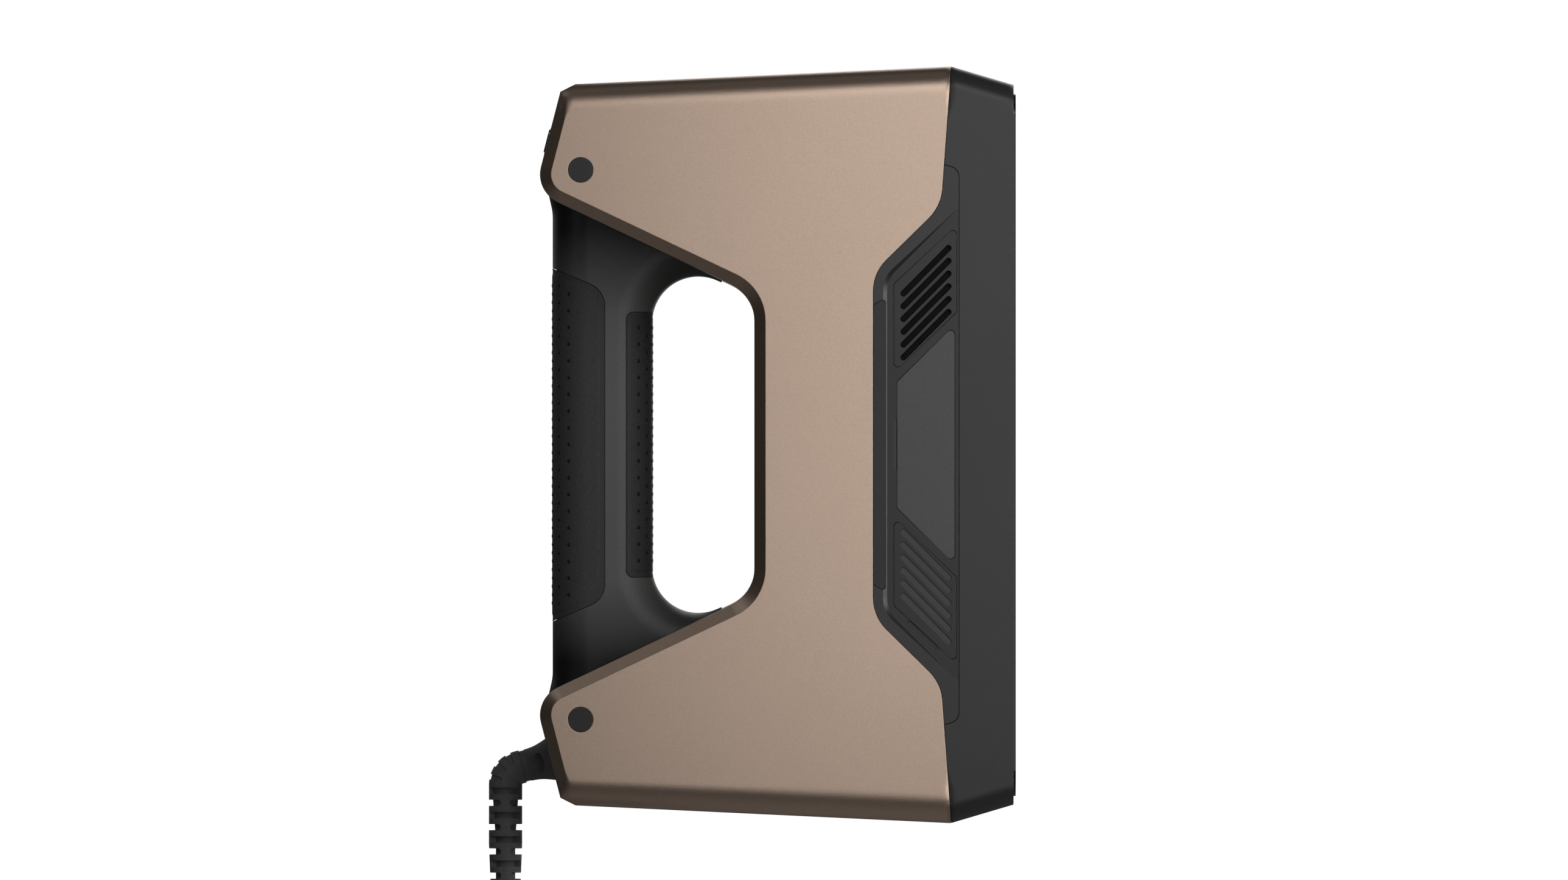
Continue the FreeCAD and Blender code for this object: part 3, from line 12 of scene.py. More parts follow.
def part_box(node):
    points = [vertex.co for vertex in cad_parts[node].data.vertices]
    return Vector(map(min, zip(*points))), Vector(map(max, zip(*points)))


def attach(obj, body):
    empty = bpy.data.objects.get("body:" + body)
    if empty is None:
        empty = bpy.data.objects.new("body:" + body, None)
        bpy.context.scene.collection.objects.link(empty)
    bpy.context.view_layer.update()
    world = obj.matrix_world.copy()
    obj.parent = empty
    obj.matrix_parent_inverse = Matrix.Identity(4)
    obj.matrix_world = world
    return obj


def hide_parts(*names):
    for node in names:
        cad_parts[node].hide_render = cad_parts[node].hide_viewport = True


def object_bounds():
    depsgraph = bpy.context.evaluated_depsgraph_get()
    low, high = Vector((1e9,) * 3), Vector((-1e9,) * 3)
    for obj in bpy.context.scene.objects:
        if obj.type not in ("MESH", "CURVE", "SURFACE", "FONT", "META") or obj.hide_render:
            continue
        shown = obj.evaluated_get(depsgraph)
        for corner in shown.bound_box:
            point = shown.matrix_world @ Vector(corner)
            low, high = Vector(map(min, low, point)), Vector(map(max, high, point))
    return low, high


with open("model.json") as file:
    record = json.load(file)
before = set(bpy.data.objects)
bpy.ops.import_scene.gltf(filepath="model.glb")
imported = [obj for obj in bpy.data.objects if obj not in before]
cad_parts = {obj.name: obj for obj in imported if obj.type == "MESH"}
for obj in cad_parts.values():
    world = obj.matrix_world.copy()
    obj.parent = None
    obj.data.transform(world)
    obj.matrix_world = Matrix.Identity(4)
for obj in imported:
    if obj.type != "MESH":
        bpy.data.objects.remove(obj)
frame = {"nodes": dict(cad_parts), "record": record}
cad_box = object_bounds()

MM = 0.001
nodes = frame["nodes"]
scene = bpy.context.scene
ROOT = "scanner"


# ---------------------------------------------------------------- small helpers


def link(name, data):
    obj = bpy.data.objects.new(name, data)
    scene.collection.objects.link(obj)
    return obj


def mesh_piece(name, bm, material, body=ROOT, sharp=35.0):
    """Turns a bmesh into a piece that rides on a body; edges steeper than sharp stay hard."""
    bmesh.ops.recalc_face_normals(bm, faces=bm.faces)
    mesh = bpy.data.meshes.new(name)
    bm.to_mesh(mesh)
    bm.free()
    mesh.shade_smooth()
    mesh.set_sharp_from_angle(angle=math.radians(sharp))
    obj = link(name, mesh)
    mesh.materials.append(material)
    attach(obj, body)
    return obj


# ---------------------------------------------------------------- camera

LENS = 800.0
SENSOR = 36.0
FRAME_WIDTH = 0.492  # of what the picture shows at VIEW_CENTRE
VIEW_CENTRE = Vector((0.0571, -0.03, 0.0015))


def build_camera():
    data = bpy.data.cameras.new("camera")
    data.lens = LENS
    data.sensor_width = SENSOR
    distance = FRAME_WIDTH * LENS / SENSOR
    data.clip_start = 0.1
    data.clip_end = 100.0
    camera = link("camera", data)
    camera.location = VIEW_CENTRE - Vector((0, distance, 0))
    camera.rotation_euler = (math.radians(90), 0, 0)
    scene.camera = camera


build_camera()

# ---------------------------------------------------------------- cord

CORD_D = 0.006
COIL_TURNS = 8
STEPS_A_TURN = 16
STRANDS = 9  # places round the bundle's section, one step further each turn
# The cord's way from its exit: straight down, on the curve after that, and where it meets the coil.
HANG_END = Vector((0, 0, -20)) * MM
HANG_BEND = Vector((-11.2, 0, -47.8)) * MM
COIL_ENTRY = Vector((-35.7, 0, -85.5)) * MM
TAIL_STEPS = (0.35, 0.7, 1.0)  # shares of the way from the coil to the computer plug
boot_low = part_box("strain_relief")[0]
coil_low, coil_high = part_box("cord_coil")
plug_low, plug_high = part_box("usb_plug")
hang_x = (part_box("cord")[1].x) - CORD_D / 2
exit_point = Vector((hang_x, 0, boot_low.z))
coil_centre = (coil_low + coil_high) / 2
bundle = (coil_high.y - coil_low.y) / 2
coil_mean = (coil_high.x - coil_low.x) / 2 - bundle
turn_ring = bundle - CORD_D / 2
entry_offset = exit_point + COIL_ENTRY - coil_centre
entry_angle = math.atan2(entry_offset.z, entry_offset.x)


def coil_point(angle):
    """Where the cord's middle is after turning by angle round the coil, from its entry."""
    here = entry_angle + angle
    round_bundle = angle / STRANDS
    out = coil_mean + turn_ring * math.cos(round_bundle)
    side = turn_ring * math.sin(round_bundle)
    return coil_centre + Vector((out * math.cos(here), side, out * math.sin(here)))


def cord_route():
    """The cord's points, from the strain relief through the coil to the computer plug."""
    points = [exit_point, exit_point + HANG_END, exit_point + HANG_BEND]
    total = 2 * math.pi * COIL_TURNS + (math.pi - entry_angle)
    steps = COIL_TURNS * STEPS_A_TURN + 1
    points += [coil_point(total * k / steps) for k in range(steps + 1)]
    tail = points[-1]
    plug_top = plug_high.z
    for share in TAIL_STEPS:
        points.append(Vector((tail.x, tail.y, tail.z + (plug_top - tail.z) * share)))
    return points


def build_cord(material):
    points = cord_route()
    curve = bpy.data.curves.new("cord_lead", "CURVE")
    curve.dimensions = "3D"
    curve.bevel_depth = CORD_D / 2
    curve.bevel_resolution = 6
    curve.resolution_u = 6
    curve.use_fill_caps = True
    spline = curve.splines.new("NURBS")
    spline.points.add(len(points) - 1)
    for target, point in zip(spline.points, points):
        target.co = (*point, 1.0)
    spline.order_u = 3
    spline.use_endpoint_u = True
    curve.materials.append(material)
    obj = link("cord_lead", curve)
    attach(obj, ROOT)
    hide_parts("cord", "cord_coil", "cord_tail")
    return obj


# ---------------------------------------------------------------- materials

END_HEIGHT = 0.108  # from the middle height up or down, where the casing's ends begin
END_BLEND = 0.006


class Shader:
    """A material under construction: nodes are added and wired by short calls."""

    def __init__(self, name):
        self.material = bpy.data.materials.new(name)
        self.material.use_nodes = True
        self.tree = self.material.node_tree
        self.bsdf = self.tree.nodes["Principled BSDF"]
        self.coords = self.add("ShaderNodeTexCoord").outputs["Object"]

    def add(self, kind, **settings):
        node = self.tree.nodes.new(kind)
        for key, value in settings.items():
            setattr(node, key, value)
        return node

    def wire(self, source, target):
        self.tree.links.new(source, target)

    def put(self, **values):
        for key, value in values.items():
            self.bsdf.inputs[key.replace("_", " ")].default_value = value

    def noise(self, scale, detail=3.0, roughness=0.55, stretch=None):
        node = self.add("ShaderNodeTexNoise")
        node.inputs["Scale"].default_value = scale
        node.inputs["Detail"].default_value = detail
        node.inputs["Roughness"].default_value = roughness
        vector = self.coords
        if stretch is not None:
            mapping = self.add("ShaderNodeMapping")
            mapping.inputs["Scale"].default_value = stretch
            self.wire(vector, mapping.inputs["Vector"])
            vector = mapping.outputs["Vector"]
        self.wire(vector, node.inputs["Vector"])
        return node.outputs["Fac"]

    def ramp(self, factor, *stops):
        node = self.add("ShaderNodeValToRGB")
        elements = node.color_ramp.elements
        while len(elements) < len(stops):
            elements.new(0.5)
        for element, (place, colour) in zip(elements, stops):
            element.position = place
            element.color = (*colour, 1.0)
        self.wire(factor, node.inputs["Fac"])
        return node.outputs["Color"]

    def span(self, factor, low, high):
        node = self.add("ShaderNodeMapRange")
        node.inputs["To Min"].default_value = low
        node.inputs["To Max"].default_value = high
        self.wire(factor, node.inputs["Value"])
        return node.outputs["Result"]

    def soft_edges(self, radius, end_radius=None):
        """Rounds sharp edges in the shading, more so near the top and bottom if asked."""
        node = self.add("ShaderNodeBevel", samples=6)
        node.inputs["Radius"].default_value = radius
        if end_radius is not None:
            grown = self.by_height(END_HEIGHT - END_BLEND, END_HEIGHT, radius, end_radius)
            self.wire(grown, node.inputs["Radius"])
        self.wire(node.outputs["Normal"], self.bsdf.inputs["Normal"])

    def by_height(self, start, full, low, high):
        """Goes from low to high between two distances above or below the middle height."""
        split = self.add("ShaderNodeSeparateXYZ")
        size = self.add("ShaderNodeMath", operation="ABSOLUTE")
        blend = self.add("ShaderNodeMapRange")
        blend.inputs["From Min"].default_value = start
        blend.inputs["From Max"].default_value = full
        blend.inputs["To Min"].default_value = low
        blend.inputs["To Max"].default_value = high
        self.wire(self.coords, split.inputs["Vector"])
        self.wire(split.outputs["Z"], size.inputs[0])
        self.wire(size.outputs["Value"], blend.inputs["Value"])
        return blend.outputs["Result"]

    def paint_shade(self, colour, start, full, share):
        """Paints shade: leaves only a share of the colour towards the top and bottom."""
        scale = self.add("ShaderNodeVectorMath", operation="SCALE")
        self.wire(colour, scale.inputs[0])
        self.wire(self.by_height(start, full, 1.0, share), scale.inputs["Scale"])
        return scale.outputs["Vector"]

    def bump(self, height, distance, strength=0.4):
        node = self.add("ShaderNodeBump")
        node.inputs["Strength"].default_value = strength
        node.inputs["Distance"].default_value = distance
        self.wire(height, node.inputs["Height"])
        previous = self.bsdf.inputs["Normal"]
        if previous.is_linked:
            self.wire(previous.links[0].from_socket, node.inputs["Normal"])
        self.wire(node.outputs["Normal"], previous)


def shade(colour, factor):
    return tuple(min(1.0, c * factor) for c in colour)


def grained(name, colour, rough, grain=2600.0, contrast=0.12, depth=0.00003, edge=0.0003,
            end_edge=None, painted_shade_ends=None, **values):
    """Moulded or painted surface: a fine grain in colour, roughness and height, and slow mottling.

    The ends' painted shade is (height where it starts, height where it is full, share of the colour
    left).
    """
    shader = Shader(name)
    shader.soft_edges(edge, end_edge)
    fine = shader.noise(grain, 2.0)
    slow = shader.noise(22.0, 3.0)
    mixed = shader.add("ShaderNodeMix", data_type="RGBA", blend_type="MULTIPLY")
    mixed.inputs["Factor"].default_value = 1.0
    grain_colour = shader.ramp(
        fine, (0.3, shade(colour, 1 - contrast)), (0.7, shade(colour, 1 + contrast))
    )
    slow_colour = shader.ramp(slow, (0.3, (0.96, 0.96, 0.96)), (0.7, (1.0, 1.0, 1.0)))
    shader.wire(grain_colour, mixed.inputs["A"])
    shader.wire(slow_colour, mixed.inputs["B"])
    result = mixed.outputs["Result"]
    # Painted shade: the colour darkens towards the top and bottom.
    if painted_shade_ends is not None:
        result = shader.paint_shade(result, *painted_shade_ends)
    shader.wire(result, shader.bsdf.inputs["Base Color"])
    shader.wire(shader.span(slow, rough - 0.03, rough + 0.04), shader.bsdf.inputs["Roughness"])
    shader.bump(fine, depth)
    shader.put(**values)
    return shader.material


def brushed(name, colour, rough, stretch=(40.0, 3000.0, 3000.0)):
    """Turned or milled metal with fine lines."""
    shader = Shader(name)
    lines = shader.noise(1.0, 4.0, 0.7, stretch)
    shader.wire(
        shader.ramp(lines, (0.3, shade(colour, 0.85)), (0.7, shade(colour, 1.1))),
        shader.bsdf.inputs["Base Color"],
    )
    shader.wire(shader.span(lines, rough - 0.08, rough + 0.1), shader.bsdf.inputs["Roughness"])
    shader.bump(lines, 0.00001, 0.3)
    shader.put(Metallic=1.0)
    return shader.material


def glassy(name, colour, rough=0.03, ior=1.45):
    """Clear or tinted glass with a little haze."""
    shader = Shader(name)
    haze = shader.noise(60.0, 2.0)
    shader.wire(shader.span(haze, rough, rough + 0.03), shader.bsdf.inputs["Roughness"])
    shader.put(Base_Color=(*colour, 1.0), Transmission_Weight=1.0, IOR=ior)
    return shader.material


def circuit(name):
    """Green solder mask with a hint of copper tracks under it."""
    shader = Shader(name)
    brick = shader.add("ShaderNodeTexBrick")
    brick.inputs["Scale"].default_value = 260.0
    brick.inputs["Mortar Size"].default_value = 0.06
    brick.inputs["Color1"].default_value = (0.012, 0.09, 0.035, 1)
    brick.inputs["Color2"].default_value = (0.016, 0.12, 0.045, 1)
    brick.inputs["Mortar"].default_value = (0.05, 0.2, 0.07, 1)
    shader.wire(shader.coords, brick.inputs["Vector"])
    shader.wire(brick.outputs["Color"], shader.bsdf.inputs["Base Color"])
    shader.bump(brick.outputs["Fac"], 0.00005)
    shader.put(Roughness=0.35)
    return shader.material


def woven(name, colour):
    """Hook-and-loop strap: a close weave with fuzz."""
    shader = Shader(name)
    wave = shader.add("ShaderNodeTexWave", wave_type="BANDS", bands_direction="DIAGONAL")
    wave.inputs["Scale"].default_value = 900.0
    wave.inputs["Distortion"].default_value = 1.5
    shader.wire(shader.coords, wave.inputs["Vector"])
    shader.wire(
        shader.ramp(wave.outputs["Fac"], (0.2, shade(colour, 0.5)), (0.8, shade(colour, 1.5))),
        shader.bsdf.inputs["Base Color"],
    )
    shader.bump(wave.outputs["Fac"], 0.0002)
    shader.put(Roughness=0.9, Sheen_Weight=0.4)
    return shader.material


COPPER = (0.60, 0.455, 0.36)
materials = {
    "copper_shell": grained("copper_paint", COPPER, 0.38, 2400.0, 0.06, 0.00001, 0.00028, 0.0035,
                            Metallic=1.0),
    "black_plastic": grained("bezel_plastic", (0.031, 0.031, 0.031), 0.4, end_edge=0.003,
                             Specular_IOR_Level=0.62),
    "insert_plastic": grained("insert_plastic", (0.027, 0.027, 0.027), 0.4, edge=0.0002,
                              Specular_IOR_Level=0.62),
    "strip_plastic": grained("strip_plastic", (0.016, 0.016, 0.016), 0.4, edge=0.0002,
                             Specular_IOR_Level=0.55),
    "badge_plastic": grained("badge_plastic", (0.105, 0.105, 0.105), 0.4, edge=0.0002,
                             Specular_IOR_Level=0.62),
    "grip_rubber": grained("grip_rubber", (0.062, 0.062, 0.062), 0.62, 1800.0, 0.2, 0.00004),
    "front_gloss": grained("front_gloss", (0.012, 0.012, 0.013), 0.16, 3000.0, 0.1, 0.000004),
    "window_glass": glassy("window_glass", (0.42, 0.44, 0.46), ior=1.2),  # coated against glare
    "socket_plastic": grained("socket_plastic", (0.02, 0.02, 0.02), 0.55),
    "screw_steel": brushed("screw_steel", (0.16, 0.16, 0.165), 0.32),
    "bearing_bronze": brushed("bearing_bronze", (0.5, 0.36, 0.18), 0.4),
    "brass_bush": brushed("brass_bush", (0.72, 0.55, 0.26), 0.3),
    "button_plastic": grained("button_plastic", (0.018, 0.018, 0.018), 0.42),
    "bright_trim": brushed("bright_trim", (0.85, 0.85, 0.85), 0.22),
    "light_plastic": grained("light_plastic", (0.10, 0.55, 0.65), 0.25, 1500.0, 0.08, 0.000005,
                             Emission_Color=(0.08, 0.62, 0.72, 1.0), Emission_Strength=0.6),
    "circuit_board": circuit("circuit_board"),
    "bench_aluminium": brushed("bench_aluminium", (0.55, 0.55, 0.57), 0.35),
    "lens_black": brushed("lens_black", (0.03, 0.03, 0.032), 0.4),
    "cord_jacket": grained("cord_jacket", (0.022, 0.022, 0.022), 0.6, 1500.0, 0.2, 0.00005),
    "tie_strap": woven("tie_strap", (0.03, 0.03, 0.03)),
    # Near-black: painted shade inside the vent slots and behind the seams.
    "filter_foam": grained("filter_foam", (0.004, 0.004, 0.004), 0.95, 900.0, 0.5, 0.0003),
}

# The handle's colour darkens to a small share towards its top and bottom: painted shade on its
# flared necks.
handle_plastic = grained("handle_plastic", (0.155, 0.155, 0.155), 0.45,
                         painted_shade_ends=(0.042, 0.068, 0.06))
plug_steel = brushed("plug_steel", (0.5, 0.5, 0.51), 0.3)
boot_rubber = grained("boot_rubber", (0.15, 0.15, 0.15), 0.6, 1800.0, 0.15, 0.00003)
# The dots are darker than the pads' rubber: painted shade round each bump.
dot_painted_shade = grained("dot_painted_shade", (0.012, 0.012, 0.012), 0.4, 1800.0, 0.1, 0.00001)
own_material = {"right_handle": handle_plastic, "left_handle": handle_plastic,
                "cable_plug": boot_rubber,
                "screw_caps": grained("cap_plastic", (0.03, 0.03, 0.03), 0.4, edge=0.0002)}


def dress_nodes():
    """Every CAD node gets its slot's material, or one of its own."""
    slots = {p["node"]: p["material_slot"] for p in frame["record"]["subparts"]}
    for name, obj in nodes.items():
        obj.data.materials.clear()
        obj.data.materials.append(own_material.get(name, materials[slots[name]]))


dress_nodes()
cord_piece = build_cord(materials["cord_jacket"])

# ---------------------------------------------------------------- strain relief, cut into rings

BOOT_R = 5.25 * MM
BOOT_SHY = 0.02 * MM  # above the taper, the rings stay this far inside that
LEAN = math.radians(14.5)
plug_axis = Vector((-math.cos(LEAN), 0, -math.sin(LEAN)))
BEND_R = 5.6 * MM
BEND_SLOTS = (13.1, 37.9, 61.8)  # degrees round the bend
BEND_SLOT = 0.93 * MM  # width on the centreline
BEND_SLOT_DEEP = 0.45 * MM
SLOT_PITCH = 3.82 * MM
SLOT_LONG = 1.94 * MM
FIRST_SLOT = 107.8 * MM  # below the model's origin
LAST_RING = 2.0 * MM
SIDE_REACH = math.radians(71)  # half of each slot's sweep round the strain relief
CROSS_REACH = math.radians(68)
TAPER_START = 125.0 * MM  # below the model's origin
END_R = 4.2 * MM
CORE_R = 4.25  # mm, of the inner tube at its top
CORE_NARROWS = 1.2  # mm
CORE_RUN = 18.0 * MM
STEP_ROOM = 1e-6  # between the two sides of each sharp step
PLAIN_ROWS = 4  # between two slots
SHORT_OF_SLOT = 0.001  # of a row, so that the last plain row stops before the slot

FACE_UP = 98.8 * MM  # the plug's middle on the lower back panel, below the model's origin
PANEL_UP = 79.4 * MM  # below the origin, where that panel is PANEL_X along X
PANEL_X = -21.0 * MM
PLUG_LONG = 9.5 * MM
CORNER_LONG = 5.5 * MM  # plug's end to the sharp corner of the bend
TURN = math.pi / 2 - LEAN
RUN = BEND_R * math.tan(TURN / 2)
ROOT_LONG = CORNER_LONG - RUN
BOOT_END = boot_low.z
face_x = PANEL_X + (FACE_UP - PANEL_UP) * math.tan(LEAN)
root_end = Vector((face_x, 0, -FACE_UP)) + plug_axis * PLUG_LONG
corner = root_end + plug_axis * CORNER_LONG
straight_top = corner.z - RUN
PATH_LONG = ROOT_LONG + BEND_R * TURN + (straight_top - BOOT_END)


def boot_frame(s):
    """Point, direction and outward side of the strain relief at length s from the plug."""
    if s <= ROOT_LONG:
        point = root_end + plug_axis * s
        direction = plug_axis
    elif s <= ROOT_LONG + BEND_R * TURN:
        angle = (s - ROOT_LONG) / BEND_R
        start = root_end + plug_axis * ROOT_LONG
        inward = Vector((-plug_axis.z, 0, plug_axis.x))
        centre = start + inward * BEND_R
        point = centre - inward * BEND_R * math.cos(angle) + plug_axis * BEND_R * math.sin(angle)
        direction = plug_axis * math.cos(angle) + inward * math.sin(angle)
    else:
        point = Vector((corner.x, 0, straight_top - (s - ROOT_LONG - BEND_R * TURN)))
        direction = Vector((0, 0, -1))
    outward = Vector((direction.z, 0, -direction.x))
    return point, direction, outward


def boot_slots():
    """(start, end, kind) along the path. Outer slots are on the bend's outer side only.

    Below the bend, cross slots open to right and left, and side slots to front and back, in turn.
    """
    first_cross = ROOT_LONG + BEND_R * TURN + (straight_top + FIRST_SLOT)
    slots, kinds = [], ("cross", "side")
    for turned in BEND_SLOTS:
        at = ROOT_LONG + BEND_R * math.radians(turned)
        slots.append((at - BEND_SLOT / 2, at + BEND_SLOT / 2, "outer"))
    k = 0
    while first_cross + k * SLOT_PITCH + SLOT_LONG < PATH_LONG - LAST_RING:
        start = first_cross + k * SLOT_PITCH
        slots.append((start, start + SLOT_LONG, kinds[k % 2]))
        k += 1
    return slots


def boot_radius(s):
    taper_start = ROOT_LONG + BEND_R * TURN + (straight_top + TAPER_START)
    if s < taper_start:
        return BOOT_R - BOOT_SHY
    return BOOT_R + (END_R - BOOT_R) * (s - taper_start) / (PATH_LONG - taper_start)


def core_radius(s):
    """The inner tube, which narrows down to the cord."""
    along = (s - ROOT_LONG - BEND_R * TURN) / CORE_RUN
    along = max(0.0, min(1.0, along))
    return (CORE_R - CORE_NARROWS * along) * MM


def build_boot():
    """The whole strain relief as one skin of rings swept along its path."""
    around = 144
    bm = bmesh.new()
    rows = []
    slots = boot_slots()

    def row(s, slot):
        point, direction, outward = boot_frame(s)
        side = direction.cross(outward)
        radius, core = boot_radius(s), core_radius(s)
        ring = []
        for k in range(around):
            phi = 2 * math.pi * k / around
            r = radius
            if slot is not None:
                low, high, kind = slot
                half = (high - low) / 2
                off = min(1.0, abs(s - (low + high) / 2) / half)
                end_round = (1 - math.sqrt(max(0.0, 1 - off * off))) * half / radius
                reach = SIDE_REACH - end_round
                from_out = abs((phi + math.pi) % (2 * math.pi) - math.pi)
                if kind == "side":
                    inside = min(from_out, math.pi - from_out) < reach
                elif kind == "cross":
                    inside = abs(from_out - math.pi / 2) < CROSS_REACH
                else:
                    inside = from_out < reach
                if inside:
                    r = radius - BEND_SLOT_DEEP if kind == "outer" else core
            ring.append(bm.verts.new(point + (outward * math.cos(phi) + side * math.sin(phi)) * r))
        rows.append(ring)

    row(0.0, None)
    last = 0.0
    for low, high, kind in slots:
        for step in range(1, PLAIN_ROWS + 1):
            row(last + (low - last) * step / (PLAIN_ROWS + SHORT_OF_SLOT), None)
        steps = 8 if kind != "cross" else 2
        for step in range(steps + 1):
            s = low + (high - low) * step / steps
            row(min(max(s, low + STEP_ROOM), high - STEP_ROOM), (low, high, kind))
        row(high + STEP_ROOM, None)
        last = high + STEP_ROOM
    for step in range(1, PLAIN_ROWS + 1):
        row(last + (PATH_LONG - last) * step / PLAIN_ROWS, None)
    for upper, lower in zip(rows, rows[1:]):
        for k in range(around):
            n = (k + 1) % around
            bm.faces.new((upper[k], upper[n], lower[n], lower[k]))
    bm.faces.new(rows[0])
    bm.faces.new(list(reversed(rows[-1])))
    obj = mesh_piece("strain_relief_rings", bm, boot_rubber, sharp=28.0)
    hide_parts("strain_relief")
    return obj


build_boot()

# ---------------------------------------------------------------- treads and dots on the pads

TREAD_HIGH = 0.2 * MM
TREAD_EDGE = 1.3 * MM  # plain margin inside the pad's outline
TREAD_RISE = 0.9 * MM
TREAD_SINK = 0.02 * MM
TREAD_DEEP = 0.4 * MM
GRIP_OUT = 0.05  # outside the grip, where each ray towards its surface starts
GRIP_IN = 0.008  # nearer the grip's axis than this is no pad
DOT_MARGIN = 3.0 * MM
DOT_SKIRT = 0.25 * MM
DOT_RADIUS = 0.62 * MM
DOT_HIGH = 0.16 * MM


def surface_of(obj):
    """A piece's surface, for finding where rays meet it."""
    mesh = obj.data
    return BVHTree.FromPolygons([v.co.copy() for v in mesh.vertices],
                                [tuple(p.vertices) for p in mesh.polygons])


def smooth_step(x):
    x = max(0.0, min(1.0, x))
    return x * x * (3 - 2 * x)


def from_corner(a, b, rounding):
    """Distance into a region, from its two edges' distances, with a rounded corner."""
    if a < rounding and b < rounding:
        return rounding - math.hypot(rounding - a, rounding - b)
    return min(a, b)


rear_low, rear_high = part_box("rear_grip_pad")
front_low, front_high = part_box("front_grip_pad")
REAR_SLOPE = 0.42  # of the rear pad's end edges
REAR_SQUARE = 0.92  # makes an upright distance to such an edge square to it
REAR_CORNER = 7.5 * MM
FRONT_OVERLAP = 1.2 * MM
FRONT_CORNER = 2.3 * MM


def rear_inset(point):
    """How far a point lies inside the rear pad's outline, seen from the side."""
    edge_up = rear_high.z - (point.x - rear_low.x) * REAR_SLOPE
    return from_corner(rear_high.x - point.x, (edge_up - abs(point.z)) * REAR_SQUARE, REAR_CORNER)


def front_inset(point):
    across = point.x - front_low.x + FRONT_OVERLAP
    return from_corner(across, front_high.z - abs(point.z), FRONT_CORNER)


def tread(name, node, facing, half_angle, inset):
    """The raised middle of a pad: a skin on its outer face that rises inside its outline."""
    tree = surface_of(nodes[node])
    low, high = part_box(node)
    turns, rows = 120, 240
    bm = bmesh.new()
    outer, inner = [], []
    for row in range(rows + 1):
        z = low.z + (high.z - low.z) * row / rows
        outer_row, inner_row = [], []
        for step in range(turns + 1):
            angle = math.radians(half_angle) * (2 * step / turns - 1)
            out = Vector((math.cos(angle) * facing, math.sin(angle), 0))
            hit, normal, _, _ = tree.ray_cast(Vector((0, 0, z)) + out * GRIP_OUT, -out)
            if hit is None or hit.dot(out) < GRIP_IN:
                outer_row.append(None)
                inner_row.append(None)
                continue
            lift = TREAD_HIGH * smooth_step((inset(hit) - TREAD_EDGE) / TREAD_RISE)
            outer_row.append(bm.verts.new(hit + normal * (lift - TREAD_SINK)))
            inner_row.append(bm.verts.new(hit - normal * TREAD_DEEP))
        outer.append(outer_row)
        inner.append(inner_row)
    for sheet, flip in ((outer, False), (inner, True)):
        for upper, lower in zip(sheet, sheet[1:]):
            for k in range(turns):
                corners = [upper[k], upper[k + 1], lower[k + 1], lower[k]]
                if all(corner is not None for corner in corners):
                    bm.faces.new(list(reversed(corners)) if flip else corners)
    rim = [edge for edge in bm.edges if len(edge.link_faces) == 1]
    bmesh.ops.bridge_loops(bm, edges=rim)
    loose = [v for v in bm.verts if not v.link_faces]
    bmesh.ops.delete(bm, geom=loose, context="VERTS")
    return mesh_piece(name, bm, materials["grip_rubber"], sharp=60.0)


def dome(bm, place, normal, radius, height):
    """A low round dot standing on a surface, its skirt sunk a little into it."""
    turn = normal.to_track_quat("Z", "Y")
    around, rings = 20, 5
    rows = []
    for ring in range(rings):
        tilt = math.pi / 2 * ring / rings
        r = radius * math.cos(tilt)
        z = height * math.sin(tilt)
        rows.append([
            bm.verts.new(place + turn @ Vector((r * math.cos(a), r * math.sin(a), z)))
            for a in (2 * math.pi * k / around for k in range(around))
        ])
    skirt = [bm.verts.new(v.co - normal * DOT_SKIRT) for v in rows[0]]
    rows.insert(0, skirt)
    top = bm.verts.new(place + normal * height)
    for lower, upper in zip(rows, rows[1:]):
        for k in range(around):
            n = (k + 1) % around
            bm.faces.new((lower[k], lower[n], upper[n], upper[k]))
    for k in range(around):
        bm.faces.new((rows[-1][k], rows[-1][(k + 1) % around], top))
    bm.faces.new(list(reversed(skirt)))


def dots(name, skin, facing, columns, pitch, top, inset):
    """Columns of dots round the grip, every other column half a step higher."""
    tree = surface_of(skin)
    bm = bmesh.new()
    for index, angle in enumerate(columns):
        turn = math.radians(angle)
        out = Vector((math.cos(turn) * facing, math.sin(turn), 0))
        shift = pitch / 2 if index % 2 else 0.0
        rows = int(2 * top / pitch) + 2
        for row in range(rows):
            z = top + shift - pitch * row
            hit, normal, _, _ = tree.ray_cast(Vector((0, 0, z)) + out * GRIP_OUT, -out)
            if hit is not None and inset(hit) > DOT_MARGIN and hit.dot(out) > GRIP_IN:
                dome(bm, hit, normal, DOT_RADIUS, DOT_HIGH)
    return mesh_piece(name, bm, dot_painted_shade, sharp=60.0)


REAR_COLUMNS = (-52.3, -38.1, -23.6, -8.2, 8.2, 23.6, 38.1, 52.3)  # degrees round the grip
FRONT_COLUMNS = (-49.0, -36.0, -22.5, -8.0, 8.0, 22.5, 36.0, 49.0)


def build_treads():
    """Each pad's tread, and its dots from the topmost row down."""
    skin = tread("rear_tread", "rear_grip_pad", -1, 96.0, rear_inset)
    dots("rear_dots", skin, -1, REAR_COLUMNS, 5.25 * MM, 47.4 * MM, rear_inset)
    skin = tread("front_tread", "front_grip_pad", 1, 66.0, front_inset)
    dots("front_dots", skin, 1, FRONT_COLUMNS, 5.23 * MM, 36.8 * MM, front_inset)


build_treads()

# ---------------------------------------------------------------- tie and computer plug


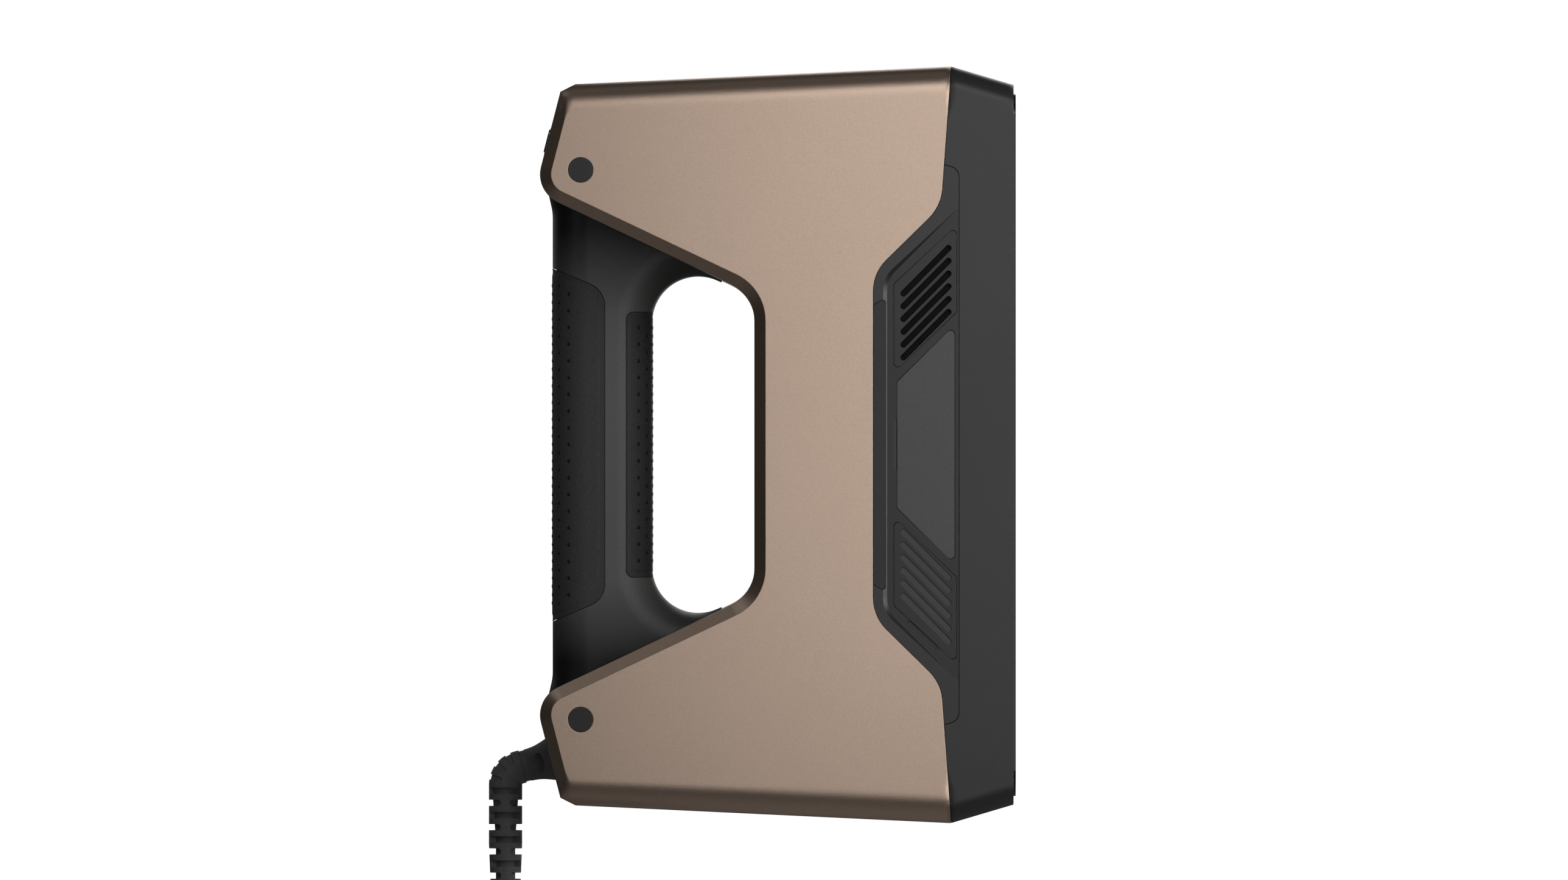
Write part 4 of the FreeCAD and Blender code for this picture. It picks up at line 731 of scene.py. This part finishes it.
def build_tie():
    """A hook-and-loop strap, wound once round the bundle of turns with its end lapped over."""
    tie_middle, tie_wide = math.radians(72.0), math.radians(20.0)
    lap, steps, across = math.radians(425.0), 150, 10
    thick, lift, gap = 0.55 * MM, 0.6 * MM, 0.05 * MM
    lap_start, lap_rise = math.radians(330), math.radians(50)
    loose_end = math.radians(200)
    bm = bmesh.new()
    rows = []
    for step in range(steps + 1):
        wound = lap * step / steps
        base = bundle + gap + lift * smooth_step((wound - lap_start) / lap_rise)
        row = []
        for depth in (0.0, thick):
            line = []
            for k in range(across + 1):
                here = tie_middle + tie_wide * (k / across - 0.5)
                r = base + depth
                section = wound + loose_end
                reach = coil_mean + r * math.cos(section)
                line.append(bm.verts.new(coil_centre + Vector(
                    (reach * math.cos(here), r * math.sin(section), reach * math.sin(here)))))
            row.append(line)
        rows.append(row[0] + list(reversed(row[1])))
    for one, two in zip(rows, rows[1:]):
        count = len(one)
        for k in range(count):
            n = (k + 1) % count
            bm.faces.new((one[k], one[n], two[n], two[k]))
    bm.faces.new(rows[0])
    bm.faces.new(list(reversed(rows[-1])))
    obj = mesh_piece("strap", bm, materials["tie_strap"], sharp=50.0)
    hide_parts("cord_tie")
    return obj


SEAM_STRIP_HALF = 2.0 * MM
SEAM_STRIP_GAP = 0.05 * MM
SEAM_STRIP_THICK = 0.8 * MM
INSIDE_UP = 95 * MM  # free height inside the casing, above and below the middle
BESIDE_SEAM = 1.5 * MM
SEAM_RUNS = {1: ((24, 105),), -1: ((24, 30), (52, 105))}  # ends along X in mm, above and below


def build_seam_strips():
    """Near-black strips inside the casing, behind the long seams where its halves meet, which paint
    the seams' shade.
    """
    tree = surface_of(nodes["right_shell"])
    bm = bmesh.new()
    for up, runs in SEAM_RUNS.items():
        for run in runs:
            corners = []
            for x in run:
                start = Vector((x * MM, -BESIDE_SEAM, INSIDE_UP * up))
                hit, _, _, _ = tree.ray_cast(start, Vector((0, 0, up)))
                for y in (-SEAM_STRIP_HALF, SEAM_STRIP_HALF):
                    for drop in (SEAM_STRIP_GAP, SEAM_STRIP_GAP + SEAM_STRIP_THICK):
                        corners.append(bm.verts.new((x * MM, y, hit.z - drop * up)))
            bmesh.ops.convex_hull(bm, input=corners)
    return mesh_piece("seam_shade_strips", bm, materials["filter_foam"])


def rounded_ring(bm, half_x, half_y, corner, z, centre, steps=6):
    """One loop of vertices: a rounded rectangle at height z."""
    loop = []
    for quarter in range(4):
        sign_x, sign_y = ((1, 1), (-1, 1), (-1, -1), (1, -1))[quarter]
        for step in range(steps + 1):
            angle = math.pi / 2 * (quarter + step / steps)
            loop.append(bm.verts.new(centre + Vector((
                sign_x * (half_x - corner) + corner * math.cos(angle),
                sign_y * (half_y - corner) + corner * math.sin(angle), z))))
    return loop


def skin_loops(bm, loops):
    """Faces between each loop and the next, and one over each end."""
    for one, two in zip(loops, loops[1:]):
        count = len(one)
        for k in range(count):
            n = (k + 1) % count
            bm.faces.new((one[k], one[n], two[n], two[k]))
    bm.faces.new(loops[0])
    bm.faces.new(list(reversed(loops[-1])))


def build_usb_plug():
    """Moulded grip with grooves and a tapered neck, and the steel shell with its tongue."""
    centre = Vector(((plug_low.x + plug_high.x) / 2, (plug_low.y + plug_high.y) / 2, 0))
    top, low = plug_high.z, plug_low.z
    neck_end, grip_end = top - 3 * MM, top - 27 * MM
    bm = bmesh.new()
    loops = [rounded_ring(bm, 3.6 * MM, 3.6 * MM, 3.5 * MM, top, centre),
             rounded_ring(bm, 3.9 * MM, 3.8 * MM, 3.7 * MM, neck_end + 0.5 * MM, centre)]
    # mm: how far down from the neck, half width, half thickness and corner radius.
    wide, groove = (8.0, 4.0, 2.2), (7.5, 3.6, 1.9)
    marks = [(0.0, 6.8, 3.4, 3.0), (0.6, 7.7, 3.8, 2.4), (1.4, *wide), (4.0, *wide)]
    grooves, first_groove, groove_pitch = 6, 4.6, 2.0
    for index in range(grooves):
        base = first_groove + index * groove_pitch
        marks += [(base, *wide), (base + 0.25, *groove), (base + 0.95, *groove)]
        marks.append((base + 1.2, *wide))
    marks += [(22.6, *wide), (23.5, 7.8, 3.85, 2.0), (24.0, 7.2, 3.3, 1.6)]
    for down, half_x, half_y, corner in marks:
        z = neck_end - down * MM
        loops.append(rounded_ring(bm, half_x * MM, half_y * MM, corner * MM, z, centre))
    skin_loops(bm, loops)
    grip = mesh_piece("usb_grip", bm, materials["cord_jacket"], sharp=40.0)
    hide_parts("usb_plug")
    bm = bmesh.new()
    outside = [(6.0, 2.25, grip_end + 1 * MM), (6.0, 2.25, low + 0.3 * MM), (5.9, 2.15, low)]
    inside = [(5.7, 1.95, low), (5.7, 1.95, grip_end + 1 * MM)]
    loops = [rounded_ring(bm, x * MM, y * MM, 0.5 * MM, z, centre) for x, y, z in outside + inside]
    skin_loops(bm, loops)
    shell = mesh_piece("usb_shell", bm, plug_steel, sharp=40.0)
    bm = bmesh.new()
    lift = Vector((0, 0.75 * MM, 0))
    loops = [rounded_ring(bm, 5.5 * MM, 1.0 * MM, 0.15 * MM, z, centre + lift, 2)
             for z in (grip_end, low + 0.8 * MM)]
    skin_loops(bm, loops)
    tongue = mesh_piece("usb_tongue", bm, materials["button_plastic"], sharp=40.0)
    return [grip, shell, tongue]


build_seam_strips()
tie_piece = build_tie()
usb_pieces = build_usb_plug()

# ---------------------------------------------------------------- stage and light


def floor_paint():
    """Matt pale paint that looks nearly as bright as the wall, but lights the object little."""
    shader = Shader("floor_paint")
    shader.put(Base_Color=(0.55, 0.55, 0.55, 1.0), Roughness=0.7)
    speckle = shader.noise(400.0, 2.0)
    tone = shader.ramp(speckle, (0.3, (0.78, 0.78, 0.78)), (0.7, (0.82, 0.82, 0.82)))
    shader.wire(tone, shader.bsdf.inputs["Emission Color"])
    path = shader.add("ShaderNodeLightPath")
    shader.wire(path.outputs["Is Camera Ray"], shader.bsdf.inputs["Emission Strength"])
    return shader.material


FLOOR_R = 2.5
FLOOR_GAP = 0.004


def build_stage():
    """A round pale floor just below the lowest piece of the CAD model."""
    low, high = cad_box
    bm = bmesh.new()
    bmesh.ops.create_circle(bm, cap_ends=True, segments=96, radius=FLOOR_R)
    mesh = bpy.data.meshes.new("floor")
    bm.to_mesh(mesh)
    bm.free()
    floor = link("floor", mesh)
    floor.location = ((low.x + high.x) / 2, 0, low.z - FLOOR_GAP)
    mesh.materials.append(floor_paint())


def area_light(name, place, target, side, watts, spread=180.0):
    """A soft box at place, facing target; side is its width and height, spread is in degrees."""
    data = bpy.data.lights.new(name, "AREA")
    data.shape = "RECTANGLE"
    data.size, data.size_y = side
    data.energy = watts
    data.spread = math.radians(spread)
    light = link(name, data)
    light.location = place
    light.rotation_mode = "QUATERNION"
    light.rotation_quaternion = (Vector(target) - Vector(place)).to_track_quat("-Z", "Y")


DIM_WORLD = 0.022


def build_world():
    """White to the eye. As a light it is dim, so that only the soft boxes shape the object."""
    world = bpy.data.worlds.new("studio")
    scene.world = world
    world.use_nodes = True
    tree = world.node_tree
    tree.nodes.clear()
    add = tree.nodes.new
    output = add("ShaderNodeOutputWorld")
    mix = add("ShaderNodeMixShader")
    seen = add("ShaderNodeBackground")
    seen.inputs["Color"].default_value = (1, 1, 1, 1)
    lit = add("ShaderNodeBackground")
    lit.inputs["Color"].default_value = (1, 1, 1, 1)
    lit.inputs["Strength"].default_value = DIM_WORLD
    path = add("ShaderNodeLightPath")
    tree.links.new(path.outputs["Is Camera Ray"], mix.inputs["Fac"])
    tree.links.new(lit.outputs["Background"], mix.inputs[1])
    tree.links.new(seen.outputs["Background"], mix.inputs[2])
    tree.links.new(mix.outputs["Shader"], output.inputs["Surface"])


build_stage()
build_world()
# The same soft boxes on both sides: a large one that fades towards the back, a strip for the upper
# edges, one low in front for the edges that face forward, and a weak one behind.
for name, sign in (("right", -1), ("left", 1)):
    area_light(f"{name}_box", (0.30, 0.50 * sign, 0.19), (0.24, 0.05 * sign, 0.15), (0.62, 0.70),
               0.70, 120.0)
    area_light(f"{name}_strip_box", (0.30, 0.50 * sign, 0.37), (0.24, 0.05 * sign, 0.12),
               (0.62, 0.08), 0.14, 120.0)
    area_light(f"{name}_edge_box", (0.95, 0.13 * sign, 0.06), (0.10, 0.05 * sign, 0.0), (0.3, 0.3),
               0.18, 50.0)
    area_light(f"{name}_fill_box", (-0.40, 0.52 * sign, 0.18), (-0.02, 0.01 * sign, -0.06),
               (0.3, 0.3), 0.04, 90.0)
area_light("top_box", (0.0, 0.0, 1.3), (0.05, 0.0, 0.0), (0.7, 0.7), 0.16)
area_light("front_box", (0.9, 0.0, 0.9), (0.12, 0.0, 0.0), (0.6, 0.4), 0.12)
area_light("back_box", (-0.7, 0.0, 1.0), (0.0, 0.0, 0.0), (0.6, 0.4), 0.36)
scene.view_settings.view_transform = "Standard"
